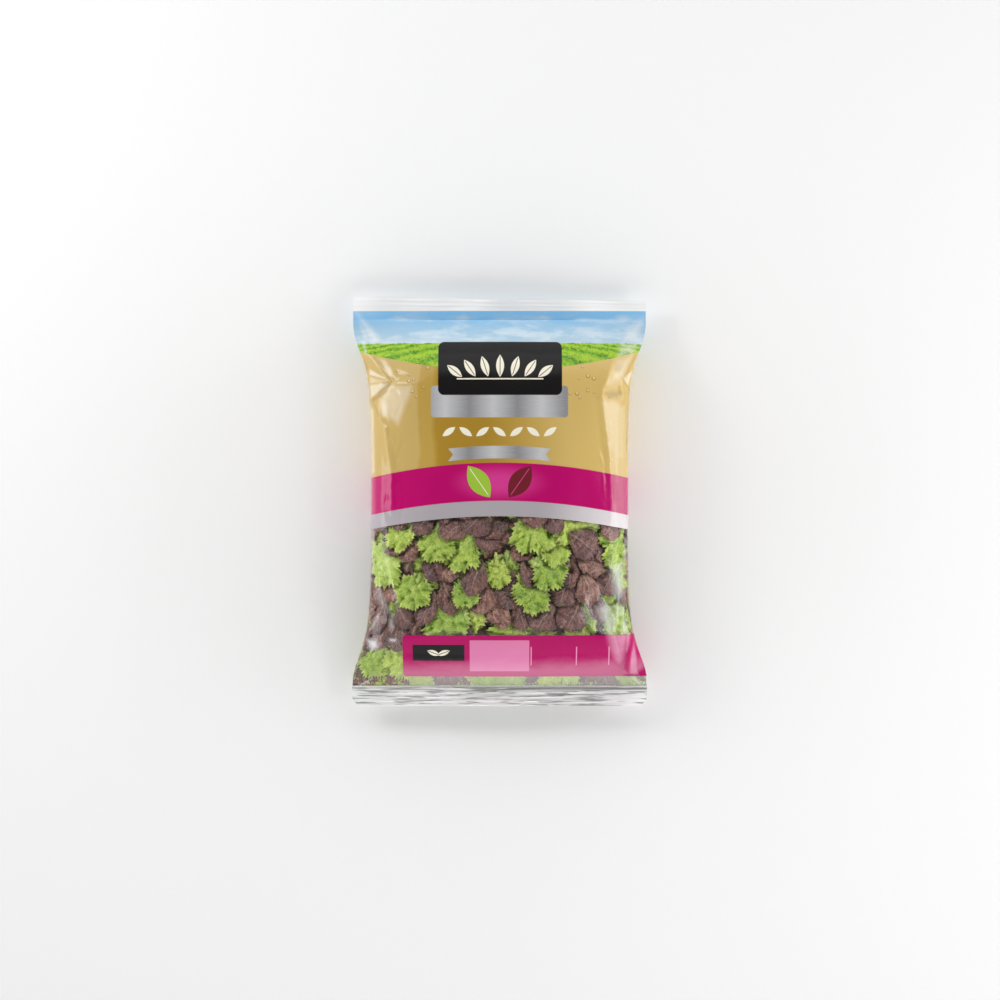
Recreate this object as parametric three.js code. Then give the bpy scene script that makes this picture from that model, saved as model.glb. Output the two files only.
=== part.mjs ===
// A sealed pillow bag of salad leaves, lying on its back with its printed front up.
// Millimetres. X runs across the bag, Y from the bottom seal to the top seal, Z up from the table.
// The origin is on the table, under the middle of the bag's outline.
// The bag is one welded tube of film: a pillow full of leaves, closed by a crimped seal at each end.

import * as THREE from "three";

// Film and overall size
const overallLength = 345; // cut edge to cut edge, as the filled bag lies
const topSealHalf = 123.3; // half the width of the top seal
const bottomSealHalf = 124.3; // half the width of the bottom seal, the tube laid flat
const waistHalf = 107.4; // half the width where the filling pulls the sides in
const topSealHeight = 12.6; // crimped band across the top
const bottomSealHeight = 16; // crimped band across the bottom
const seamThickness = 1.2; // film on film, at the seals and along the side folds

// Filling
const frontFullness = 1.05; // how far the front bulges for the width that it gives up
const backFullness = 0.98; // the same for the back, before the table flattens it
const foldHeightMiddle = 34; // height of the side folds halfway along the bag
const sealHeight = 23; // height of both seals above the table
const sealDroop = 5; // how much lower the ends of a seal hang than its middle

// Cross-section: an ellipse has a squareness of 2, and a higher one is flatter on top.
// Its edge thins out into a flat ear near the seals and is rounded where the bag is full.
const frontSquareness = 2.5;
const backSquareness = 2.8;
const edgePower = { ear: 1.35, full: 0.5 };
const earFade = { from: 0.1, to: 0.85 }; // share of the full bulge over which the ear goes

// How far the width flares out again towards each seal
const topFlare = { reach: 39.5, power: 3.5 };
const bottomFlare = { reach: 34, power: 2.6 };

// Crimping: level ridges pressed into both seals, and the waves that they leave along the cut edge
const crimpDepth = 0.55;
const crimpStart = 0.1; // share of the seal's height over which the ridges begin
const slowWave = { height: 1.3, length: 19, topStart: 0.4, bottomStart: 2.2 };
const quickWave = { height: 0.78, length: 8.3, start: 1.1 };
const topEdgeSlope = 2; // the top was cut a little askew
const bottomCornerRadius = 9;

// The fin where the tube of film is welded down the middle of the back
const finHalfWidth = 7;
const finThickness = 0.8;
const finEdge = 2; // width over which it runs out

// Soft lumps where leaves press on the film
const lumpHeight = 0.8;
const broadLumps = { across: 13, along: 17, start: 0.8, sway: 1.7, swayLength: 31 };
const smallLumps = { height: 0.6, across: 8.5, along: 21, start: 2.1 };
const lumpFadePower = 4; // how late lumps and folds die away towards the side folds
const foldFadePower = 8;
const reliefFade = 6; // least bulge that carries them in full

// Mesh density
const columns = 44;
const bodyRows = 38;
const topSealRows = 6;
const bottomSealRows = 8;
const rows = bottomSealRows + bodyRows + topSealRows;
const rowGathering = 1 / 1.3; // how strongly the rows gather at the seals

const topEdge = overallLength / 2;
const bottomEdge = -overallLength / 2;
const topWeld = topEdge - topSealHeight; // where the top seal meets the filling
const bottomWeld = bottomEdge + bottomSealHeight;

// Long folds in the front of the film, each a straight ridge or groove that fades at both ends.
// Positions are on the bag as seen from above; a negative height is a groove.
const frontFolds = [
  { from: [-119, 151], to: [-90, 99], height: 2.6, width: 7 }, // top left corner into the star
  { from: [-112, 126], to: [-90, 99], height: -2.2, width: 6 },
  { from: [-108, 86], to: [-90, 99], height: 2.4, width: 6 },
  { from: [-105, 77], to: [-88, 12], height: 1.8, width: 7 }, // long fold down the left side
  { from: [122, 156], to: [104, 103], height: 2.8, width: 7 }, // top right corner
  { from: [110, 97], to: [90, 92], height: -2.2, width: 7 }, // dimple under it
  { from: [-100, -49], to: [-84, -97], height: -2, width: 6 }, // slanting groove, lower left
  { from: [-124, -154], to: [-98, -118], height: 2.6, width: 7 }, // bottom left corner
  { from: [112, -112], to: [105, -146], height: 2.8, width: 6 }, // bottom right corner, three folds
  { from: [99, -138], to: [118, -152], height: -2.2, width: 6 },
  { from: [124, -154], to: [116, -120], height: -2, width: 6 },
];

// 0 at and below low, 1 at and above high, smooth between.
function smoothStep(low, high, value) {
  return THREE.MathUtils.smoothstep(value, low, high);
}

// Share of the flare that is left at a distance from a seal.
function flareShare(distance, { reach, power }) {
  return 1 / (1 + (Math.max(distance, 0) / reach) ** power);
}

// Half the width of the sealed tube, a little different at the two seals.
function sealHalf(y) {
  return THREE.MathUtils.lerp(
    bottomSealHalf,
    topSealHalf,
    smoothStep(bottomWeld, topWeld, y),
  );
}

// Half the width of the filled bag at a height along it.
function halfWidth(y) {
  const share =
    flareShare(topWeld - y, topFlare) + flareShare(y - bottomWeld, bottomFlare);
  return waistHalf + (sealHalf(y) - waistHalf) * Math.min(share, 1);
}

// How far a face bulges: the film keeps its length across, so what the width loses goes into the bulge.
function bulge(y, fullness) {
  const half = halfWidth(y);
  return fullness * half * Math.sqrt(Math.max(sealHalf(y) / half - 1, 0));
}

const fullBulge = bulge(0, frontFullness);

// 0 at the seals, where the filling tapers to thin corners, and 1 where the bag is full.
function fullShare(y) {
  return Math.min(bulge(y, frontFullness) / fullBulge, 1);
}

// The section's outline from the middle, where it is 1, to the side fold, where it is 0.
// Near the seals it thins out into flat ears, and in the middle it is a rounded pillow.
function sectionShape(across, y, squareness) {
  const roundness = smoothStep(earFade.from, earFade.to, fullShare(y));
  const power = THREE.MathUtils.lerp(edgePower.ear, edgePower.full, roundness);
  return Math.max(1 - Math.abs(across) ** squareness, 0) ** power;
}

// Height of the layer where front and back meet.
function meetingHeight(x, y) {
  const droop = sealDroop * (x / sealHalf(y)) ** 2 * (1 - fullShare(y));
  return (
    THREE.MathUtils.lerp(sealHeight, foldHeightMiddle, fullShare(y)) - droop
  );
}

// Height of the lumps at a point, fading towards the side folds.
function lumps(x, y, across) {
  const room = (1 - across ** lumpFadePower) * fullShare(y);
  const sway = broadLumps.sway * Math.sin(y / broadLumps.swayLength);
  const broad = Math.sin(x / broadLumps.across + sway) * Math.cos(y / broadLumps.along + broadLumps.start);
  const small = Math.sin(x / smallLumps.across - y / smallLumps.along + smallLumps.start);
  return lumpHeight * room * (broad + smallLumps.height * small);
}

// Height of one straight fold at a point: full along its middle, fading over its ends and its width.
function foldHeight(x, y, { from, to, height, width }) {
  const [fromX, fromY] = from;
  const alongX = to[0] - fromX;
  const alongY = to[1] - fromY;
  const share = THREE.MathUtils.clamp(
    ((x - fromX) * alongX + (y - fromY) * alongY) / (alongX ** 2 + alongY ** 2),
    0,
    1,
  );
  const gap = Math.hypot(x - fromX - share * alongX, y - fromY - share * alongY);
  return height * Math.exp(-((gap / width) ** 2)) * Math.sin(Math.PI * share) ** 0.5;
}

function allFolds(x, y) {
  return frontFolds.reduce((sum, fold) => sum + foldHeight(x, y, fold), 0);
}

// The filled part of the bag. across runs from -1 to 1 between the side folds.
function bodyPoint(across, y, isFront) {
  const x = halfWidth(y) * across;
  const middle = meetingHeight(x, y);
  if (isFront) {
    const dome = bulge(y, frontFullness) * sectionShape(across, y, frontSquareness);
    const relief = lumps(x, y, across) + allFolds(x, y) * (1 - across ** foldFadePower);
    const z = middle + seamThickness / 2 + dome + relief * smoothStep(0, reliefFade, dome);
    return [x, y, z];
  }
  const sag = bulge(y, backFullness) * sectionShape(across, y, backSquareness);
  const fin = finThickness * (1 - smoothStep(finHalfWidth - finEdge, finHalfWidth, Math.abs(x)));
  return [x, y, Math.max(middle - seamThickness / 2 - sag - fin, 0)];
}

// A crimped seal. depth runs from 0 at the weld to 1 at the cut edge.
function sealPoint(across, depth, isTop, isFront) {
  const weld = isTop ? topWeld : bottomWeld;
  const height = isTop ? topSealHeight : bottomSealHeight;
  const slope = isTop ? topEdgeSlope * (-across - 1) * depth : 0;
  const outward = isTop ? 1 : -1;
  const y = weld + outward * depth * height + slope;
  const intoCorner = isTop
    ? 0
    : Math.max(depth * height - (height - bottomCornerRadius), 0);
  const rounding =
    bottomCornerRadius - Math.sqrt(bottomCornerRadius ** 2 - intoCorner ** 2);
  const x = across * (sealHalf(y) - rounding);
  const ridges = isTop ? topSealRows : bottomSealRows;
  const crimp = crimpDepth * Math.cos(Math.PI * ridges * depth) * smoothStep(0, crimpStart, depth);
  const slowStart = isTop ? slowWave.topStart : slowWave.bottomStart;
  const slow = slowWave.height * Math.sin(x / slowWave.length + slowStart);
  const quick = quickWave.height * Math.sin(x / quickWave.length + quickWave.start);
  const wave = depth * (slow + quick);
  const side = isFront ? 1 : -1;
  return [x, y, meetingHeight(x, weld) + wave + crimp + (side * seamThickness) / 2];
}

// Carries a point of a box two units wide, long and deep onto the bag.
function bagPoint(boxX, boxY, boxZ) {
  const across = Math.sin((boxX * Math.PI) / 2);
  const isFront = boxZ > 0;
  const row = ((boxY + 1) / 2) * rows;
  if (row <= bottomSealRows) {
    return sealPoint(across, 1 - row / bottomSealRows, false, isFront);
  }
  if (row >= bottomSealRows + bodyRows) {
    return sealPoint(across, (row - bottomSealRows - bodyRows) / topSealRows, true, isFront);
  }
  const share = (row - bottomSealRows) / bodyRows;
  const eased = share - (rowGathering * Math.sin(2 * Math.PI * share)) / (2 * Math.PI);
  return bodyPoint(across, THREE.MathUtils.lerp(bottomWeld, topWeld, eased), isFront);
}

function bagGeometry() {
  const geometry = new THREE.BoxGeometry(2, 2, 2, columns, rows, 1);
  const position = geometry.getAttribute("position");
  for (let i = 0; i < position.count; i++) {
    const point = bagPoint(position.getX(i), position.getY(i), position.getZ(i));
    position.setXYZ(i, ...point);
  }
  geometry.computeVertexNormals();
  return geometry;
}

const bag = new THREE.Mesh(
  bagGeometry(),
  new THREE.MeshStandardMaterial({ color: 0xb08f3a, roughness: 0.3, metalness: 0 }),
);
bag.name = "bag";

const saladBag = new THREE.Group();
saladBag.add(bag);

export default saladBag;
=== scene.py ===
import math

import bpy
import numpy as np
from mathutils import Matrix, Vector


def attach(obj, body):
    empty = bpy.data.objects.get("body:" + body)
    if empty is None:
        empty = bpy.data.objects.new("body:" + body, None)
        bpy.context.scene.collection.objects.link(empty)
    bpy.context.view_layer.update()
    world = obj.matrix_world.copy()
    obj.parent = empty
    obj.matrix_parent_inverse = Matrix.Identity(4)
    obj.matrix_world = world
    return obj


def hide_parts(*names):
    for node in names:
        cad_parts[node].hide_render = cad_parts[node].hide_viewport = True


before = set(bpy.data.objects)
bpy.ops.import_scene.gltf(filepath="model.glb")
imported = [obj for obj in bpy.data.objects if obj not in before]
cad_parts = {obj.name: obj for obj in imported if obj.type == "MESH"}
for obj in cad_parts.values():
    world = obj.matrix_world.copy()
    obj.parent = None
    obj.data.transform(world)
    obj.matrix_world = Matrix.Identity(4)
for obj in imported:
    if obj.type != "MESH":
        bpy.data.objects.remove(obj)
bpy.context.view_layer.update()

# A sealed bag of salad leaves on its back: one tube of film, printed above and clear below,
# crimped shut at both ends and packed with green and red lettuce leaves.
# X runs across the bag, Y towards its top seal, Z up. Shapes are worked out in millimetres.
millimetre = 0.001
halfGirth = 248.0  # how far round the film the middle of the back is from the middle of the front
fullTurn = 6.28  # radians, for random turns and phases


def deselectAll():
    if bpy.context.object and bpy.context.object.mode != "OBJECT":
        bpy.ops.object.mode_set(mode="OBJECT")
    bpy.ops.object.select_all(action="DESELECT")


def pickOut(piece):
    deselectAll()
    piece.select_set(True)
    bpy.context.view_layer.objects.active = piece


def gridSheet(name, columns, rows):
    deselectAll()
    bpy.ops.mesh.primitive_grid_add(x_subdivisions=columns, y_subdivisions=rows, size=2)
    piece = bpy.context.object
    piece.name = piece.data.name = name
    return piece


def readPoints(piece):
    points = np.empty(len(piece.data.vertices) * 3)
    piece.data.vertices.foreach_get("co", points)
    return points.reshape(-1, 3)


def writePoints(piece, points):
    piece.data.vertices.foreach_set("co", np.ascontiguousarray(points, dtype=float).ravel())
    piece.data.update()


def applyModifier(piece, kind, **settings):
    pickOut(piece)
    modifier = piece.modifiers.new(kind.title(), kind)
    for name, value in settings.items():
        setattr(modifier, name, value)
    bpy.ops.object.modifier_apply(modifier=modifier.name)


def smoothByAngle(piece, degrees):
    pickOut(piece)
    bpy.ops.object.shade_smooth_by_angle(angle=math.radians(degrees))


def smooth(low, high, value):  # 0 below low, 1 above high, eased between
    share = np.clip((value - low) / (high - low), 0, 1)
    return share * share * (3 - 2 * share)


def mix(low, high, share):
    return low + (high - low) * share


# The bag's shape. The film keeps its length across, so what the width loses goes into the bulge.
bagShape = {
    "length": 345.0,
    "topSealHalf": 123.3,  # half the width of each seal
    "bottomSealHalf": 124.3,
    "waistHalf": 107.4,  # half the width where the filling pulls the sides in
    "topSealHeight": 12.6,
    "bottomSealHeight": 16.0,
    "finHalfWidth": 7.0,  # the weld down the middle of the back, folded flat
    "finThickness": 0.5,
    "seamThickness": 1.2,
    "frontFullness": 1.05,
    "backFullness": 0.98,
    "frontSquareness": 2.5,  # 2 is an ellipse, more is flatter on top
    "backSquareness": 2.8,
    "edgePower": (1.35, 0.5),  # thin flat ears near the seals, round side folds where the bag is full
    "earFade": (0.1, 0.85),
    "foldHeight": 34.0,  # height of the side folds halfway along
    "sealHeight": 23.0,
    "sealDroop": 5.0,  # how much lower the ends of a seal hang
    "topFlare": (39.5, 3.5),  # reach and power of the widening towards each seal
    "bottomFlare": (34.0, 2.6),
    "topCrimpDepth": 0.16,
    "bottomCrimpDepth": 0.5,
    "topCrimps": 6,  # half waves of crimping in each seal
    "bottomCrimps": 9,
    "topEdgeSlope": 2.0,  # the top was cut a little askew
    "bottomCornerRadius": 9.0,
    "windowTop": -12.6,  # middle of the arc where the print ends and the clear window starts
    "windowBow": 11.3,  # how much lower that arc is at the side folds
    "bowStart": 6.0,  # above the label, where the rows of the grid begin to bow with it
    "labelTop": -111.6,
    "labelBottom": -147.2,
}
topEdge = bagShape["length"] / 2
topWeld = topEdge - bagShape["topSealHeight"]
bottomWeld = -topEdge + bagShape["bottomSealHeight"]

# Grid of the film: columns across each face, rows from the bottom edge to the top edge
filmGrid = {
    "columns": 220,
    "bottomSeal": 26, "belowLabel": 8, "label": 30, "window": 84, "print": 160, "topSeal": 18,
}

# Long folds, each a straight ridge (or a groove, where the height is negative) that fades at its ends
longFolds = [
    # (from x, y), (to x, y), height, half width
    ((-122, 152), (-89, 99), -2.2, 4.5),  # the star at the top left, grooves and facets
    ((-116, 138), (-89, 99), 3.2, 8.0),
    ((-112, 110), (-89, 99), -2.4, 4.0),
    ((-112, 98), (-89, 98), 3.4, 8.0),
    ((-109, 82), (-89, 99), -2.4, 4.0),
    ((-91, 99), (-60, 97), 1.1, 7.0),
    ((-90, 98), (-76, 76), 1.0, 9.0),
    ((-106, 82), (-93, 54), 2.0, 5.0),  # long fold down the left side
    ((-97, 64), (-88, 14), 1.4, 5.0),
    ((-90, 24), (-90, -12), 0.9, 4.0),
    ((122, 158), (103, 103), 3.0, 8.0),  # top right corner and the dimple under it
    ((116, 128), (103, 103), -1.8, 4.0),
    ((103, 103), (110, 74), 2.4, 6.0),
    ((87, 90), (106, 89), -2.4, 6.0),
    ((95, 122), (84, 84), 1.6, 8.0),
    ((85, 92), (92, 34), 1.6, 6.0),
    ((91, 48), (94, -6), 1.3, 5.0),
    ((-101, -47), (-84, -98), -2.2, 5.0),  # slanting groove at the lower left
    ((-105, -62), (-92, -102), 1.8, 5.0),
    ((-125, -155), (-96, -116), 3.0, 8.0),  # bottom left corner
    ((-118, -128), (-100, -114), -2.0, 5.0),
    ((113, -110), (105, -146), 3.0, 6.0),  # bottom right corner
    ((94, -132), (110, -148), -2.6, 5.0),
    ((106, -133), (124, -160), 2.8, 6.0),
    ((104, -58), (96, -104), 1.8, 7.0),
    ((78, -78), (98, -114), -1.6, 7.0),
]
foldEdge = 1.15  # above 1, a fold's flanks are hollow
smallFolds = {
    "seed": 11,
    "count": 60,
    "length": (10, 30),
    "height": (0.12, 0.4),
    "width": (1.5, 3.5),
    "fromWeld": 8,
    "sealReach": (60, 15),  # within this distance of a seal they also lie nearer the middle
    "across": (0.74, 0.97),  # shares of the half width
    "inwards": 0.5,
    "turnSpread": 0.45,
}
# Unevenness of the film. A length is what its waves take for one radian.
lumpShape = {
    "height": 0.8, "across": 13, "along": 17, "start": 0.8, "sway": 1.7, "swayLength": 31,
    "smallHeight": 0.6, "smallAcross": 8.5, "smallAlong": 21, "smallStart": 2.1,
}
pleatShape = {
    "height": 0.34,
    "waves": ((5.3, 1.0, 1.0), (3.1, 0.7, 2.3), (11, 0.8, -1.0)),  # length, strength and share of the phase
    "topReach": 13, "bottomReach": 11, "fromWeld": 8,
}
buckleShape = {
    "height": 0.3, "length": 6.1, "sway": 1.4, "swayLength": 23,
    "strength": (0.6, 0.4), "strengthLength": 37,
    "inner": (0.72, 0.93), "outer": (0.985, 1.0),
}
crimpShape = {
    "waver": ((0.12, 9), (0.1, 23)),  # height and length
    "start": 0.08,
    "pressed": (0.6, 0.4),  # the jaws press unevenly
    "pressedLength": 9.7, "pressedSway": 1.9, "swayLength": 27,
    "wave": 1.3, "waveLength": 19, "topStart": 0.4, "bottomStart": 2.2,  # waves along the cut edge
    "quickWave": 0.6, "quickLength": 8.3, "quickStart": 1.1,
}
reliefShape = {
    "lumpFade": 4, "foldFade": 16,  # powers: how late lumps and folds die away towards the side folds
    "fullDepth": 6, "pleatDepth": 2,  # bulge that carries them in full
    "backShare": 0.5,
    "bucklePhases": (0.7, 2.9), "pleatPhases": (0.4, 1.9),  # front and back
}


def sealHalf(y):
    return mix(bagShape["bottomSealHalf"], bagShape["topSealHalf"], smooth(bottomWeld, topWeld, y))


def halfWidth(y):
    share = 0
    for distance, (reach, power) in (
        (topWeld - y, bagShape["topFlare"]),
        (y - bottomWeld, bagShape["bottomFlare"]),
    ):
        share = share + 1 / (1 + (np.maximum(distance, 0) / reach) ** power)
    return mix(bagShape["waistHalf"], sealHalf(y), np.minimum(share, 1))


def bulge(y, fullness):
    half = halfWidth(y)
    return fullness * half * np.sqrt(np.maximum(sealHalf(y) / half - 1, 0))


fullBulge = bulge(0.0, bagShape["frontFullness"])


def fullShare(y):  # 0 at the seals, 1 where the bag is full
    return np.minimum(bulge(y, bagShape["frontFullness"]) / fullBulge, 1)


def sectionShape(across, y, squareness):
    power = mix(*bagShape["edgePower"], smooth(*bagShape["earFade"], fullShare(y)))
    return np.maximum(1 - np.abs(across) ** squareness, 0) ** power


def meetingHeight(x, y):
    droop = bagShape["sealDroop"] * (x / sealHalf(y)) ** 2 * (1 - fullShare(y))
    return mix(bagShape["sealHeight"], bagShape["foldHeight"], fullShare(y)) - droop


def lumps(x, y):  # where leaves press on the film
    shape = lumpShape
    sway = shape["sway"] * np.sin(y / shape["swayLength"])
    broad = np.sin(x / shape["across"] + sway) * np.cos(y / shape["along"] + shape["start"])
    small = np.sin(x / shape["smallAcross"] - y / shape["smallAlong"] + shape["smallStart"])
    return shape["height"] * (broad + shape["smallHeight"] * small)


def foldRelief(x, y, start, end, height, width):
    alongX, alongY = end[0] - start[0], end[1] - start[1]
    share = ((x - start[0]) * alongX + (y - start[1]) * alongY) / (alongX**2 + alongY**2)
    share = np.clip(share, 0, 1)
    gap = np.hypot(x - start[0] - share * alongX, y - start[1] - share * alongY)
    return height * np.maximum(1 - gap / width, 0) ** foldEdge * np.sqrt(np.sin(np.pi * share))


def scatterFolds():  # short creases near the side folds and the seals
    draw = np.random.default_rng(smallFolds["seed"])
    inner, outer = smallFolds["across"]
    folds = []
    for _ in range(smallFolds["count"]):
        side = draw.choice([-1, 1])
        y = draw.uniform(bottomWeld + smallFolds["fromWeld"], topWeld - smallFolds["fromWeld"])
        nearSeal = smooth(*smallFolds["sealReach"], min(topWeld - y, y - bottomWeld))
        x = side * halfWidth(y) * draw.uniform(inner - smallFolds["inwards"] * nearSeal, outer)
        turn = draw.normal(math.pi / 2, smallFolds["turnSpread"])
        reach = draw.uniform(*smallFolds["length"]) / 2
        end = (x + reach * math.cos(turn), y + reach * math.sin(turn))
        start = (x - reach * math.cos(turn), y - reach * math.sin(turn))
        height = draw.uniform(*smallFolds["height"]) * draw.choice([-1, 1])
        folds.append((start, end, height, draw.uniform(*smallFolds["width"])))
    return folds


def pleats(x, y, phase):  # gathers that run into the bag from each weld
    shape = pleatShape
    fromTop, fromBottom = topWeld - y, y - bottomWeld
    waves = sum(strength * np.sin(x / length + share * phase) for length, strength, share in shape["waves"])
    near = np.exp(-np.maximum(fromTop, 0) / shape["topReach"])
    near = near + np.exp(-np.maximum(fromBottom, 0) / shape["bottomReach"])
    return shape["height"] * waves * near * smooth(0, shape["fromWeld"], np.minimum(fromTop, fromBottom))


def buckles(y, across, phase):  # wrinkles across the side folds, where the film is pushed together
    shape = buckleShape
    place = smooth(*shape["inner"], np.abs(across)) * (1 - smooth(*shape["outer"], np.abs(across)))
    side = np.sign(across)
    sway = shape["sway"] * np.sin(y / shape["swayLength"] + side)
    waves = np.sin(y / shape["length"] + phase + side + sway)
    least, more = shape["strength"]
    strength = least + more * np.sin(y / shape["strengthLength"] + 2 * side + phase)
    return shape["height"] * place * waves * strength


def bodyPoints(across, y, isFront, folds):
    x = halfWidth(y) * across
    middle = meetingHeight(x, y)
    seam = bagShape["seamThickness"] / 2
    name, face = ("front", 0) if isFront else ("back", 1)
    dome = bulge(y, bagShape[name + "Fullness"]) * sectionShape(across, y, bagShape[name + "Squareness"])
    inFull = smooth(0, reliefShape["fullDepth"], dome)
    height = lumps(x, y) * (1 - across ** reliefShape["lumpFade"]) * fullShare(y)
    height = height + buckles(y, across, reliefShape["bucklePhases"][face])
    gathers = pleats(x, y, reliefShape["pleatPhases"][face]) * smooth(0, reliefShape["pleatDepth"], dome)
    if isFront:
        for fold in folds:
            height = height + foldRelief(x, y, *fold) * (1 - across ** reliefShape["foldFade"])
        return x, middle + seam + dome + (height * inFull + gathers)
    height = height * reliefShape["backShare"] * inFull + gathers
    finEdge = bagShape["finHalfWidth"]
    fin = bagShape["finThickness"] * (1 - smooth(finEdge - 1, finEdge, np.abs(x)))
    # the bag lies on the fin, which lifts the rest of its back a little off the table
    return x, np.maximum(middle - seam - dome + height, bagShape["finThickness"]) - fin


def sealPoints(across, depth, isTop, isFront):  # depth runs from 0 at the weld to 1 at the cut edge
    weld = topWeld if isTop else bottomWeld
    height = bagShape["topSealHeight"] if isTop else bagShape["bottomSealHeight"]
    slope = bagShape["topEdgeSlope"] * (-across - 1) * depth if isTop else 0
    y = weld + (1 if isTop else -1) * depth * height + slope
    radius = bagShape["bottomCornerRadius"]
    intoCorner = 0 * depth if isTop else np.maximum(depth * height - (height - radius), 0)
    x = across * (sealHalf(y) - (radius - np.sqrt(radius**2 - intoCorner**2)))
    crimps = bagShape["topCrimps"] if isTop else bagShape["bottomCrimps"]
    shape = crimpShape
    (quick, quickLength), (slow, slowLength) = shape["waver"]
    waver = quick * np.sin(x / quickLength + 4 * depth) + slow * np.sin(x / slowLength + 1.3)
    crimp = np.sin(np.pi * (crimps * depth + waver)) * smooth(0, shape["start"], depth)
    wave = np.sin(x / shape["waveLength"] + (shape["topStart"] if isTop else shape["bottomStart"]))
    wave = wave + shape["quickWave"] * np.sin(x / shape["quickLength"] + shape["quickStart"])
    wave = shape["wave"] * depth * wave
    side = 0.5 if isFront else -0.5
    least, more = shape["pressed"]
    sway = shape["pressedSway"] * np.sin(x / shape["swayLength"])
    pressed = least + more * np.sin(x / shape["pressedLength"] + sway + 5 * depth)
    crimp = crimp * pressed * (bagShape["topCrimpDepth"] if isTop else bagShape["bottomCrimpDepth"])
    z = meetingHeight(x, np.full_like(x, weld)) + wave + crimp
    return x, y, z + side * bagShape["seamThickness"]


def filmRows():
    rows = [("bottom", depth) for depth in np.linspace(1, 0, filmGrid["bottomSeal"] + 1)[:-1]]
    stretches = (
        (bottomWeld, bagShape["labelBottom"], filmGrid["belowLabel"]),
        (bagShape["labelBottom"], bagShape["labelTop"], filmGrid["label"]),
        (bagShape["labelTop"], bagShape["windowTop"], filmGrid["window"]),
        (bagShape["windowTop"], topWeld, filmGrid["print"]),
    )
    for low, high, count in stretches:
        rows += [("body", y) for y in np.linspace(low, high, count + 1)[:-1]]
    rows += [("top", depth) for depth in np.linspace(0, 1, filmGrid["topSeal"] + 1)]
    return rows


def filmSurface(isFront):  # places of the film's grid points, as rows by columns by x, y, z
    columns = filmGrid["columns"]
    across = np.sin(np.linspace(-1, 1, columns + 1) * np.pi / 2)
    folds = longFolds + scatterFolds()
    lines = []
    for kind, value in filmRows():
        if kind == "body":
            bowShare = smooth(bagShape["labelTop"] + bagShape["bowStart"], bagShape["windowTop"], value)
            if value > bagShape["windowTop"]:
                bowShare = (topWeld - value) / (topWeld - bagShape["windowTop"])
            y = value - bagShape["windowBow"] * bowShare * across**2
            x, z = bodyPoints(across, y, isFront, folds)
        else:
            x, y, z = sealPoints(across, np.full_like(across, value), kind == "top", isFront)
        lines.append(np.stack([x, y, z], axis=1))
    return np.array(lines)


frontSurface = filmSurface(True)
backSurface = filmSurface(False)
print("film surface", frontSurface.shape)


def makeFilm():
    rows, columns = frontSurface.shape[0] - 1, frontSurface.shape[1] - 1
    film = gridSheet("clearFilm", columns, rows)
    bpy.ops.object.mode_set(mode="EDIT")
    bpy.ops.mesh.select_all(action="SELECT")
    bpy.ops.mesh.extrude_region_move(TRANSFORM_OT_translate={"value": (0, 0, -1)})
    bpy.ops.mesh.select_all(action="SELECT")
    bpy.ops.mesh.normals_make_consistent(inside=False)
    bpy.ops.object.mode_set(mode="OBJECT")
    points = readPoints(film)
    column = np.rint((points[:, 0] + 1) / 2 * columns).astype(int)
    row = np.rint((points[:, 1] + 1) / 2 * rows).astype(int)
    onFront = points[:, 2] > -0.5
    places = np.where(onFront[:, None], frontSurface[row, column], backSurface[row, column])
    writePoints(film, places * millimetre)
    return film, row, onFront


def faceMeans(piece, values):  # mean of a value of each face's corners
    mesh = piece.data
    corners = np.empty(len(mesh.loops), dtype=int)
    mesh.loops.foreach_get("vertex_index", corners)
    starts = np.empty(len(mesh.polygons), dtype=int)
    mesh.polygons.foreach_get("loop_start", starts)
    return np.add.reduceat(values[corners], starts) / np.diff(np.append(starts, len(corners)))


def selectFaces(piece, chosen):
    pickOut(piece)
    bpy.context.tool_settings.mesh_select_mode = (False, False, True)
    for part in (piece.data.vertices, piece.data.edges):
        part.foreach_set("select", np.zeros(len(part), dtype=bool))
    piece.data.polygons.foreach_set("select", np.asarray(chosen, dtype=bool))
    bpy.ops.object.mode_set(mode="EDIT")


def splitOff(piece, name):  # what is selected in edit mode becomes a piece of its own
    bpy.ops.mesh.separate(type="SELECTED")
    bpy.ops.object.mode_set(mode="OBJECT")
    newPiece = next(o for o in bpy.context.selected_objects if o != piece)
    newPiece.name = newPiece.data.name = name
    return newPiece


clearFilm, filmRow, filmFront = makeFilm()
firstPrintRow = sum(filmGrid[k] for k in ("bottomSeal", "belowLabel", "label", "window"))
firstTopRow = firstPrintRow + filmGrid["print"]
firstLabelRow = filmGrid["bottomSeal"] + filmGrid["belowLabel"]
lastLabelRow = firstLabelRow + filmGrid["label"]

# The label is printed on the outside of the window: a copy of the film's own faces, a hair's breadth out
label = {
    "left": -80.8,
    "margin": 4.0,  # copied past its left end, and cut away there
    "corner": 3.0,
    "cornerCuts": (18, 36, 54, 72),  # degrees
    "lift": 0.14,
    "backEnd": 62.0,
}


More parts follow.
